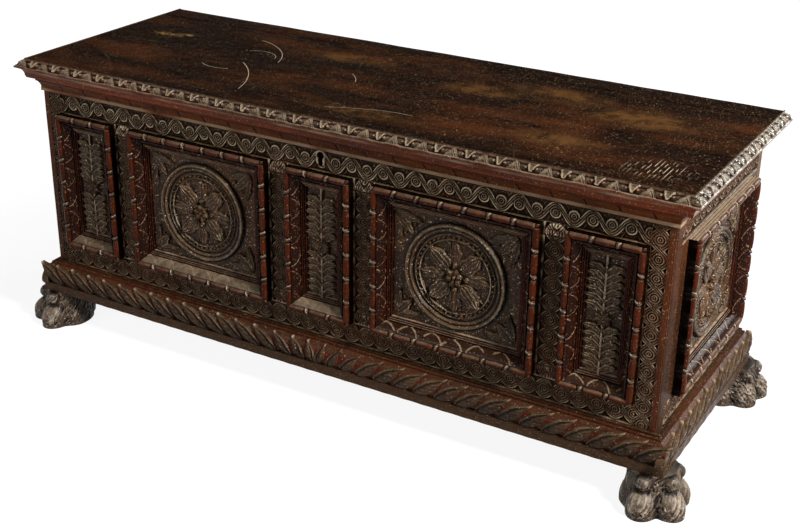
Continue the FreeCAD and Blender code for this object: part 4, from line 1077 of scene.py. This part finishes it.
def sprays():
    # feathery leaves in pairs up the stem of each narrow panel, with a flower in the middle
    right, left, flowers, hearts = [], [], [], []
    for first, last in panelSpans:
        if last - first > 200:
            continue
        middle = (first + last) / 2
        for k in range(spray["pairs"]):
            v = panelMiddle + spray["lowest"] + spray["pitch"] * k
            if -30 < v - panelMiddle < 2:
                continue
            right.append(onFace("front", middle + 1.5, v, panelGround, spray["heading"]))
            left.append(onFace("front", middle - 1.5, v, panelGround, 180 - spray["heading"]))
        for k in range(8):
            flowers.append(onFace("front", middle + 0.7, panelMiddle - 6, -5, 45 * k + 12))
        hearts.append(onFace("front", middle + 0.6, panelMiddle - 6, -5, 0))
    for name, rows, bend in (("spray_right_leaves", right, -spray["bend"]),
                             ("spray_left_leaves", left, spray["bend"])):
        shape = leafShape(*spray["leaf"], ribs=3, curl=2.6, bend=bend, lobes=3)
        spreadPieces(name, shape, rows, leafWood)
    petal = leafShape(*spray["petal"], ribs=1, curl=2.0, lobes=1)
    spreadPieces("spray_flowers", petal, flowers, leafWood)
    spreadPieces("spray_hearts", domeShape(4.4, 9.0), hearts, corniceWood)


def knotShape():
    # a narrow slanting ribbon that wraps the half-round bead
    turns, rows = ((15, 6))
    angle = np.linspace(0, math.pi, turns)[None]
    along = np.linspace(-2.2, 2.2, rows)[:, None]
    radius = 6.7 - 0.7 * (along / 2.2) ** 2 + 0 * angle
    x = along * (1 + 0.3 * np.cos(3 * angle)) + 2.0 * np.cos(angle)
    outer = np.stack([x + 0 * radius, radius * np.cos(angle), radius * np.sin(angle)], -1)
    inner = outer * np.array([1, 0.7, 0.7])
    index = np.arange(rows * turns).reshape(rows, turns)
    border = borderOf(index)
    after = np.roll(border, -1)
    sides = np.stack([border, after, after + rows * turns, border + rows * turns], -1)
    # the outer face is given a fixed cavity of 0.6, which paints it a little paler as a highlight
    return {"points": np.concatenate([outer.reshape(-1, 3), inner.reshape(-1, 3)]),
            "faces": [gridQuads(index)[:, ::-1], gridQuads(index + rows * turns), sides],
            "cavity": np.concatenate([np.full(rows * turns, 0.6), np.zeros(rows * turns)])}


def beadKnots():
    # small bands round the bead of each raised moulding
    rows = []
    frames = [("front", (left + right) / 2, (right - left) / 2) for left, right in panelSpans]
    for face, middle, half in frames + [("end", 0.0, chest["endPanelHalf"])]:
        for run, reach, direction in ((half, panelHalfUp, 0), (panelHalfUp, half, 90)):
            count = max(2, round(run * 2 / moulding["knotPitch"]))
            pitch = run * 2 / count
            for k in range(1, count):
                at = -run + pitch * k
                for side in (-1, 1):
                    u, v = (at, side * (reach - 6)) if direction == 0 else (side * (reach - 6), at)
                    rows.append(onFace(face, middle + u, panelMiddle + v, 16.0, direction))
    spreadPieces("bead_knots", knotShape(), rows, knotWood, unevenness=0.06)


# Base moulding

plinth = {"lobePitch": 44.0, "lean": 53.0}
plinthSteps = [(0, -48), (0, 28), (19.5, 28), (20, 22.5), ((39, 27.5), (58, 21)), (62, 13), (66, 13), (66, 7),
               (70, 7), (70, -48)]


def plinthCarve(along, zone, share):
    # shallow slanting flutes on the lip under the gadroons, and red wood left between these
    slant = along - share * 20
    flute = -0.8 * (0.5 + 0.5 * np.cos(2 * math.pi * slant / plinth["lobePitch"]))
    offset = np.where(zone == 1, flute, 0.0) + 0.3 * waves(along, share * 30, 21, 60) * (zone == 3)
    between = smoothStep(0.15, 0.4, share) * (1 - 0.6 * smoothStep(0.7, 0.85, share))
    red = np.where(zone == 3, between, np.where(zone > 3, 0.4, 0.0))
    # the lip face is tinted a paler grey-brown: painted light on a face that the lamps leave dark
    return offset, np.where(zone > 7, 0.0, np.where(zone == 1, -1.0, red))


def plinths():
    front, side = sweptRound(raised(plinthSteps, chest["plinthLow"]), detail["profile"] * 1.5, plinthCarve,
                             detail["stick"] * 1.5, (1, 3), chest["halfLength"], chest["halfDepth"],
                             chest["halfDepth"] * 2)
    toObject("plinth_front_look", front, plinthWood["X"], "chest", "carved_walnut", ["plinth_front"])
    bothSides("plinth", side, plinthWood["Y"], "carved_walnut")


# each of the lobes nearest the middle has its own place and lean
lobe = {"length": 77.0, "half": 14.0, "rise": 5.0, "torusMiddle": 117.5, "out": 22.0,
        "front": (168.0, 704.0), "end": (-262.0, 237.0),
        "middle": ((12.0, 14.0), (43.0, 30.0), (81.0, 42.0), (124.0, 50.0))}


def lobeShape():
    # one slanting gadroon: round at the foot, pointed at the top right, with a raised rim along its
    # upper edge that ends in the point; the whole is bent to the torus
    rows, columns = ((30, 19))
    lean = math.radians(plinth["lean"])
    share = np.linspace(0, 1, rows)[:, None]
    side = np.linspace(-1, 1, columns)[None]
    swell = np.sqrt(np.clip(1 - (1 - np.clip(share / 0.3, 0.03, 1)) ** 2, 0, 1))
    tip = -0.3 * lobe["half"]
    upper = lobe["half"] * swell + (tip - lobe["half"]) * smoothStep(0.45, 1.08, share)
    lower = -lobe["half"] * swell + (tip + lobe["half"]) * smoothStep(0.4, 1.0, share) ** 1.2
    y = lower + (np.maximum(upper, lower + 0.6) - lower) * (side + 1) / 2
    x = lobe["length"] * share + 0 * side
    upward = (x - lobe["length"] / 2) * math.cos(lean) + y * math.sin(lean)
    torus = 9.0 * (1 - np.clip(np.abs(upward) / np.where(upward < 0, 31.0, 19.0), 0, 1.5) ** 2) - 3.6
    dome = lobe["rise"] * np.clip(1 - side ** 2, 0, 1) ** 0.45 * (0.6 + 0.4 * smoothStep(0, 0.4, share))
    dome = dome * (1 - 0.2 * smoothStep(0.85, 1.0, share))
    flute = -1.9 * np.exp(-((side - 0.42) / 0.2) ** 2) * smoothStep(1.0, 0.8, share)
    rim = 1.7 * np.exp(-((side - 0.8) / 0.11) ** 2)
    point = 1.4 * smoothStep(0.86, 1.0, share) + 0 * side
    hatch = 0.5 * np.sin(x * 0.5 + side * 9) * (side < 0.25) * (side > -0.8)
    shape = domedGrid(x, y, np.maximum(torus + dome + flute + rim + point + hatch, -8.0), -9.0)
    # the cavity is set from the flute, rim, point and hatch: painted shade in the flute, painted highlights
    # on the rim and the point, and pale hatch lines
    shape["cavity"][:rows * columns] = (flute * 0.55 + rim * 0.5 + point + hatch * 0.7 + 0 * x).ravel()
    return shape


def plinthLobes():
    # towards the middle of the front they stand closer and more upright, and meet there
    lean = math.radians(plinth["lean"])
    half = lobe["length"] / 2
    first, last = lobe["front"]
    count = round((last - first) / plinth["lobePitch"])
    regular = [(first + k * (last - first) / count, plinth["lean"]) for k in range(count + 1)]
    rows = []
    for x, degrees in list(lobe["middle"]) + regular:
        turn = math.radians(degrees)
        shorter = math.cos(lean) / math.cos(turn)
        reach = half * shorter
        root = (x - reach * math.sin(turn), -chest["halfDepth"] - lobe["out"],
                lobe["torusMiddle"] - reach * math.cos(turn))
        rows.append(station(root, (math.sin(turn), 0, math.cos(turn)), (0, -1, 0),
                            (shorter, min(1.0, 0.4 + 0.6 * shorter), 1)))
    first, last = lobe["end"]
    count = round((last - first) / plinth["lobePitch"])
    for k in range(count):
        y = first + (k + 0.5) * (last - first) / count
        root = (chest["halfLength"] + lobe["out"], y - half * math.sin(lean),
                lobe["torusMiddle"] - half * math.cos(lean))
        rows.append(station(root, (0, math.sin(lean), math.cos(lean)), (1, 0, 0)))
    spreadPieces("plinth_lobes", lobeShape(), rows, lobeWood, unevenness=0.03)


# Lid

lid = {"halfLength": 725.0, "front": -254.5, "seam": 193.5, "rear": 258.5, "top": 606.0, "thickness": 28.0}
lidSteps = [(606, 0), (606, 2), (604, 2), ((600, 12), (591, 18)), (588, 18), (583, 8),
            ((576.5, 4), (570, 3)), (565, 1), (565, -10), (578, -10), (578, 0)]
lidEdge = {"pitch": 60.0, "leafHalf": 13.0, "dartHalf": 9.0, "depth": 3.4}


def lidEdgeCarve(along, zone, share):
    # a striped pointed leaf, a pit, a small V-shaped dart and a pit, over and over
    e = lidEdge
    at = fromWhole(along / e["pitch"]) * e["pitch"]
    other = e["pitch"] / 2 - np.abs(at)
    leafHalf = 2.0 + e["leafHalf"] * share
    leaf = np.abs(at) < leafHalf
    stripes = 0.5 - 0.5 * np.cos((leafHalf - np.abs(at)) * 2 * math.pi / 4.6)
    dartHalf = 1.5 + e["dartHalf"] * (1 - share)
    dart = (other < dartHalf) & (share < 0.85)
    hollow = smoothStep(3.0, 4.4, dartHalf - other)
    depth = np.where(leaf, -0.3 - 1.7 * stripes, np.where(dart, -2.2 * hollow, -e["depth"]))
    sides = np.abs(np.abs(at) - 19.5)
    pearl = np.hypot(sides, (share - 0.5) * 21) < 2.6
    depth = np.where(pearl & ~leaf & ~dart, -1.2, depth)
    border = smoothStep(0.0, 0.08, share) * smoothStep(1.0, 0.9, share)
    tint = np.where((zone == 3) | ((zone == 2) & ~leaf & ~dart), 0.5, np.where(zone < 2, -1.0, 0.0))
    tint = np.where(zone > 3, 1.0, tint)
    # the upper part of the lower moulding painted paler: a painted highlight where its face catches the light
    tint = np.where((zone == 5) & (share < 0.55), 1.4 + 0.15 * waves(along, 0 * along, 28, 110), tint)
    return np.where(zone == 2, depth * border, 0.0), tint


def lidEdges():
    front, side = sweptRound(lidSteps, detail["profile"], lidEdgeCarve, detail["stick"] * 0.85, (2,),
                             lid["halfLength"], -lid["front"], lid["rear"] - lid["front"])
    toObject("lid_edge_front_look", front, edgeWood, "lid", "carved_walnut", ["lid_edge_front"])
    bothSides("lid_edge", side, litEndEdgeWood, "carved_walnut", body="lid")


def lidRelief(up):
    # a planed board, a little uneven and lower along its seams
    def relief(u, v):
        gap = np.minimum(v - up[0], up[1] - v)
        return 0.5 * waves(u, v, 31, 160) - 0.9 - 0.9 * smoothStep(6.0, 0.0, gap)
    return relief


def lidBoards():
    across = (-lid["halfLength"], lid["halfLength"])
    for name, up in (("lid_board_front", (lid["front"], lid["seam"])),
                     ("lid_board_rear", (lid["seam"], lid["rear"]))):
        shape = reliefBlock(across, up, lid["thickness"], lidRelief(up), detail["lid"])
        shape = shifted(shape, 0, 0, lid["top"])
        toObject(name + "_look", shape, lidWood, "lid", "lid_walnut", [name])


# Cornice

corniceSteps = [(0, 0), (0, 3), (4, 3), ((14, 4.2), (21.5, 8)), (21.5, 10), (27.5, 10), (27.5, 0)]
corniceNick = {"pitch": 62.0, "half": 1.8, "depth": 0.8}


def corniceCarve(along, zone, share):
    # slanting nicks across the hollow, painted dark as shade, and worn edges above and below it, painted pale
    # as highlights too
    slant = along + share * 10
    near = fromWhole(slant / corniceNick["pitch"]) * corniceNick["pitch"]
    nick = np.where((zone == 2) & (share > 0.1) & (share < 0.8), ridgeAt(near, corniceNick["half"]), 0.0)
    edge = ((zone == 4) & (share > 0.5)) | ((zone == 2) & (share < 0.15)) | (zone == 1)
    worn = 1.58 + 0.25 * waves(along, 0 * along, 27, 80)
    red = np.where((zone >= 1) & (zone <= 4), 1.0, 0.0)
    return -corniceNick["depth"] * nick, np.where(nick > 0.4, -1.7, np.where(edge, worn, red))


def cornice():
    front, side = sweptRound(raised(corniceSteps, chest["corniceLow"]), detail["profile"] * 1.4, corniceCarve,
                             detail["stick"], (2, 4), chest["halfLength"], chest["halfDepth"],
                             chest["frameThickness"])
    toObject("cornice_look", joined([front, side, mirrored(side)]), corniceWood, "chest", "polished_walnut",
             ["cornice_front"])


# Paw feet

foot = {"height": 76.0, "turn": -29.0, "centre": (700.0, -227.0), "toeShares": (0.75, 1.0, 1.0, 0.9, 0.9),
        "toeSpread": 64.0, "toeLength": 77.0, "knobAhead": 46.0, "knobHeight": 61.0, "knobRadius": 14.5,
        "rays": (30.0, 92.0)}


def toes():
    # share of the full length and heading of each toe; the third one points straight ahead
    return [(share, math.radians(foot["toeSpread"] * (number - 2)))
            for number, share in enumerate(foot["toeShares"])]


def softUnion(values, blend):
    values = np.stack(values)
    lowest = values.min(0)
    return lowest - blend * np.log(np.exp(-(values - lowest) / blend).sum(0))


def pawDistance(x, y, z):
    # distance-like field of the paw: ankle, five toes and a knob over each
    waist = np.interp(z, [0, 46, 76], [56, 49, 43])
    parts = [np.hypot(x, y) - waist]
    for share, angle in toes():
        ahead = x * math.cos(angle) + y * math.sin(angle)
        across = -x * math.sin(angle) + y * math.cos(angle)
        reach = foot["toeLength"] * share
        toe = np.sqrt(((ahead - reach * 0.48) / (reach * 0.52)) ** 2 + (across / 30.0) ** 2
                      + (np.maximum(z - 14, 0) / (44.0 * (1 - 0.25 * np.clip(ahead / reach, 0, 1)))) ** 2) - 1
        parts.append(toe * 26)
        knob = np.sqrt((ahead - foot["knobAhead"] * share) ** 2 + across ** 2 + (z - foot["knobHeight"]) ** 2)
        parts.append(knob - foot["knobRadius"])
    return softUnion(parts, 1.4)


def knobNearness(points):
    # 1 on the dark knobs over the toes
    near = 0
    for share, angle in toes():
        ahead = foot["knobAhead"] * share
        middle = np.array([ahead * math.cos(angle), ahead * math.sin(angle), foot["knobHeight"]])
        near = np.maximum(near, smoothStep(19.0, 15.5, np.linalg.norm(points - middle, axis=-1)))
    return near


def footShape():
    # rays from the ankle's axis find the outermost surface of the paw at each height
    columns, rows = ((300, 64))
    angle = np.linspace(0, 2 * math.pi, columns, endpoint=False)[None, :, None]
    height = np.linspace(0, foot["height"], rows)[:, None, None]
    radius = np.arange(*foot["rays"], 1.0)[None, None, :]
    field = pawDistance(radius * np.cos(angle), radius * np.sin(angle), height + 0 * radius * angle)
    inside = field < 0
    last = inside.shape[2] - 1 - np.argmax(inside[:, :, ::-1], axis=2)
    last = np.clip(last, 0, inside.shape[2] - 2)
    first = np.take_along_axis(field, last[..., None], 2)[..., 0]
    second = np.take_along_axis(field, last[..., None] + 1, 2)[..., 0]
    edge = foot["rays"][0] + last + np.clip(first / (first - second + 1e-9), 0, 1)
    angle, height = angle[..., 0], height[..., 0]
    x, y = edge * np.cos(angle) + height * 0.5, edge * np.sin(angle) - height * 0.7
    fade = smoothStep(0, 8, height) * smoothStep(foot["height"], foot["height"] - 8, height)
    pits = smoothStep(0.45, 0.95, waves(x, y, 44, 7.5)) + smoothStep(0.5, 1.0, waves(x, y, 45, 5.5))
    edge = edge + fade * (1.3 * waves(x, y, 41, 18) + 0.9 * waves(x, y, 42, 8) + 0.7 * waves(x, y, 43, 4.5)
                          - 2.6 * pits - 0.6)
    points = np.stack([edge * np.cos(angle), edge * np.sin(angle), height + 0 * edge], -1)
    cavity = (edge - blurred(np.concatenate([edge[:, -12:], edge, edge[:, :12]], 1), 4)[:, 12:-12]) * 0.8
    near = knobNearness(points)
    return {"points": points.reshape(-1, 3), "faces": tubeFaces(rows, columns),
            "cavity": (cavity * (1 - 0.5 * near)).ravel(), "tint": -0.7 * near.ravel()}


def feet():
    shape = footShape()
    turn = math.radians(foot["turn"])
    p = shape["points"]
    shape["points"] = np.stack([p[:, 0] * math.cos(turn) - p[:, 1] * math.sin(turn) + foot["centre"][0],
                                p[:, 0] * math.sin(turn) + p[:, 1] * math.cos(turn) + foot["centre"][1],
                                p[:, 2]], -1)
    rear = {**shape, "points": shape["points"] * np.array([1.0, -1, 1]),
            "faces": [group[:, ::-1] for group in shape["faces"]]}
    bothSides("foot_front", shape, footWood, "foot_walnut", sharp=80)
    bothSides("foot_rear", rear, footWood, "foot_walnut", sharp=80)


def carriedNodes():
    # nodes of the construction model that show as they are
    iron = ("hinge_leaves", "hinge_straps", "hinge_pins", "lock_plate", "lock_case", "lock_bolt",
            "lock_staple", "chest_nails", "lid_nails")
    boards = {"back_board_lower": "X", "back_board_upper": "X", "bottom_board_front": "X",
              "bottom_board_rear": "X", "plinth_back": "X", "foot_pegs": "Z"}
    for name in iron:
        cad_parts[name].data.materials.clear()
        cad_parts[name].data.materials.append(forgedIron)
    for name, grain in boards.items():
        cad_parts[name].data.materials.clear()
        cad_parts[name].data.materials.append(plainWood[grain])


frontFrame()
endFrames()
print("frames made")
panels()
print("panels made")
panelMouldings()
beadKnots()
rosettes()
spandrels()
sprays()
print("mouldings and leaves made")
plinths()
plinthLobes()
print("base moulding made")
lidEdges()
lidBoards()
cornice()
print("lid made")
feet()
carriedNodes()
print("feet and iron made")

# Floor, light and camera

studio = {"world": 0.1, "floor": 0.45, "shadow": 0.12, "floorHalf": 30000.0,
          "glowFrom": (0.9, 1.8), "glow": (0.9, 1.0)}
# fitted to the photograph; the focal length is in pixels of a picture 800 wide
photoCamera = {"place": (1.3019, -2.191, 1.3778), "ahead": (-0.4594, 0.7862, -0.4133),
               "right": (0.8608, 0.5088, 0.0112), "focal": 1326.7, "shift": (0.0093, -0.0085)}
# place and target in metres, the lamp's width and height, and its power in watts
lamps = {"keyLamp": ((3.5, -1.0, 2.6), (0.3, 0, 0.3), (0.55, 0.55), 360.0),
         "fillLamp": ((-2.0, -3.4, 1.9), (0, 0, 0.3), (1.6, 1.2), 66.0),
         "rearLamp": ((1.9, 3.5, 1.8), (0, 0, 0.3), (1.6, 1.2), 80.0)}


def seenRays(add, tree, reflected=1.0):
    # 1 for the rays that look at the background: straight, by reflection or through glass
    rays = tree.nodes.new("ShaderNodeLightPath").outputs
    bounced = add("MAXIMUM", rays["Is Glossy Ray"], rays["Is Transmission Ray"])
    return add("MAXIMUM", rays["Is Camera Ray"], add("MULTIPLY", bounced, reflected))


def paleFloor():
    # lit and shaded as matt grey; the camera sees white with the chest's soft shadow
    half = studio["floorHalf"]
    corners = [(-half, -half, 0), (half, -half, 0), (half, half, 0), (-half, half, 0)]
    shape = {"points": np.array(corners, float), "faces": [np.array([[0, 1, 2, 3]])], "cavity": np.zeros(4)}
    material, tree, surface, add = newFinish("paleFloor")
    surface.inputs["Base Color"].default_value = (*[studio["floor"]] * 3, 1)
    surface.inputs["Roughness"].default_value = 0.9
    surface.inputs["Specular IOR Level"].default_value = 0.0
    away = add("ShaderNodeVectorMath", add("ShaderNodeTexCoord", out="Object"), operation="LENGTH", out=1)
    strength = add("range", away, *studio["glowFrom"], *studio["glow"])
    white = add("ShaderNodeEmission", {"Color": (1, 1, 1, 1), "Strength": strength})
    shadow = add("ShaderNodeBsdfDiffuse", {"Color": (*[studio["shadow"]] * 3, 1)})
    seen = add("ShaderNodeAddShader", white, shadow)
    mix = add("ShaderNodeMixShader", {0: seenRays(add, tree), 1: surface.outputs[0], 2: seen})
    tree.links.new(mix, tree.nodes["Material Output"].inputs["Surface"])
    toObject("floor", shape, material)


def studioWorld():
    # a faint even light, and a white background for the camera
    world = bpy.data.worlds.new("studioWorld")
    bpy.context.scene.world = world
    world.use_nodes = True
    tree = world.node_tree
    add = partial(addNode, tree)
    background = tree.nodes["Background"]
    background.inputs["Color"].default_value = (1, 1, 1, 1)
    height = add("ShaderNodeSeparateXYZ", add("ShaderNodeTexCoord", out="Generated"), out=2)
    seen = seenRays(add, tree, add("range", height, 0.06, 0.01))
    strength = add("ShaderNodeMix", {0: seen, 2: studio["world"], 3: 1.0}, data_type="FLOAT")
    tree.links.new(strength, background.inputs["Strength"])


def lamp(name, place, target, size, power):
    data = bpy.data.lights.new(name, "AREA")
    data.shape = "RECTANGLE"
    data.size, data.size_y = size
    data.energy = power
    made = bpy.data.objects.new(name, data)
    bpy.context.scene.collection.objects.link(made)
    made.location = place
    made.rotation_mode = "QUATERNION"
    made.rotation_quaternion = (Vector(target) - Vector(place)).to_track_quat("-Z", "Y")


def camera():
    c = photoCamera
    data = bpy.data.cameras.new("photoCamera")
    data.sensor_width = 36.0
    data.lens = c["focal"] / 800 * 36.0
    data.shift_x, data.shift_y = c["shift"]
    data.clip_end = 200.0
    made = bpy.data.objects.new("photoCamera", data)
    bpy.context.scene.collection.objects.link(made)
    bpy.context.scene.camera = made
    ahead = Vector(c["ahead"]).normalized()
    right = Vector(c["right"])
    right = (right - right.dot(ahead) * ahead).normalized()
    made.rotation_mode = "QUATERNION"
    made.rotation_quaternion = Matrix((right, right.cross(ahead), -ahead)).transposed().to_quaternion()
    made.location = c["place"]


paleFloor()
studioWorld()
camera()
for name, values in lamps.items():
    lamp(name, *values)
bpy.context.scene.view_settings.view_transform = "Standard"
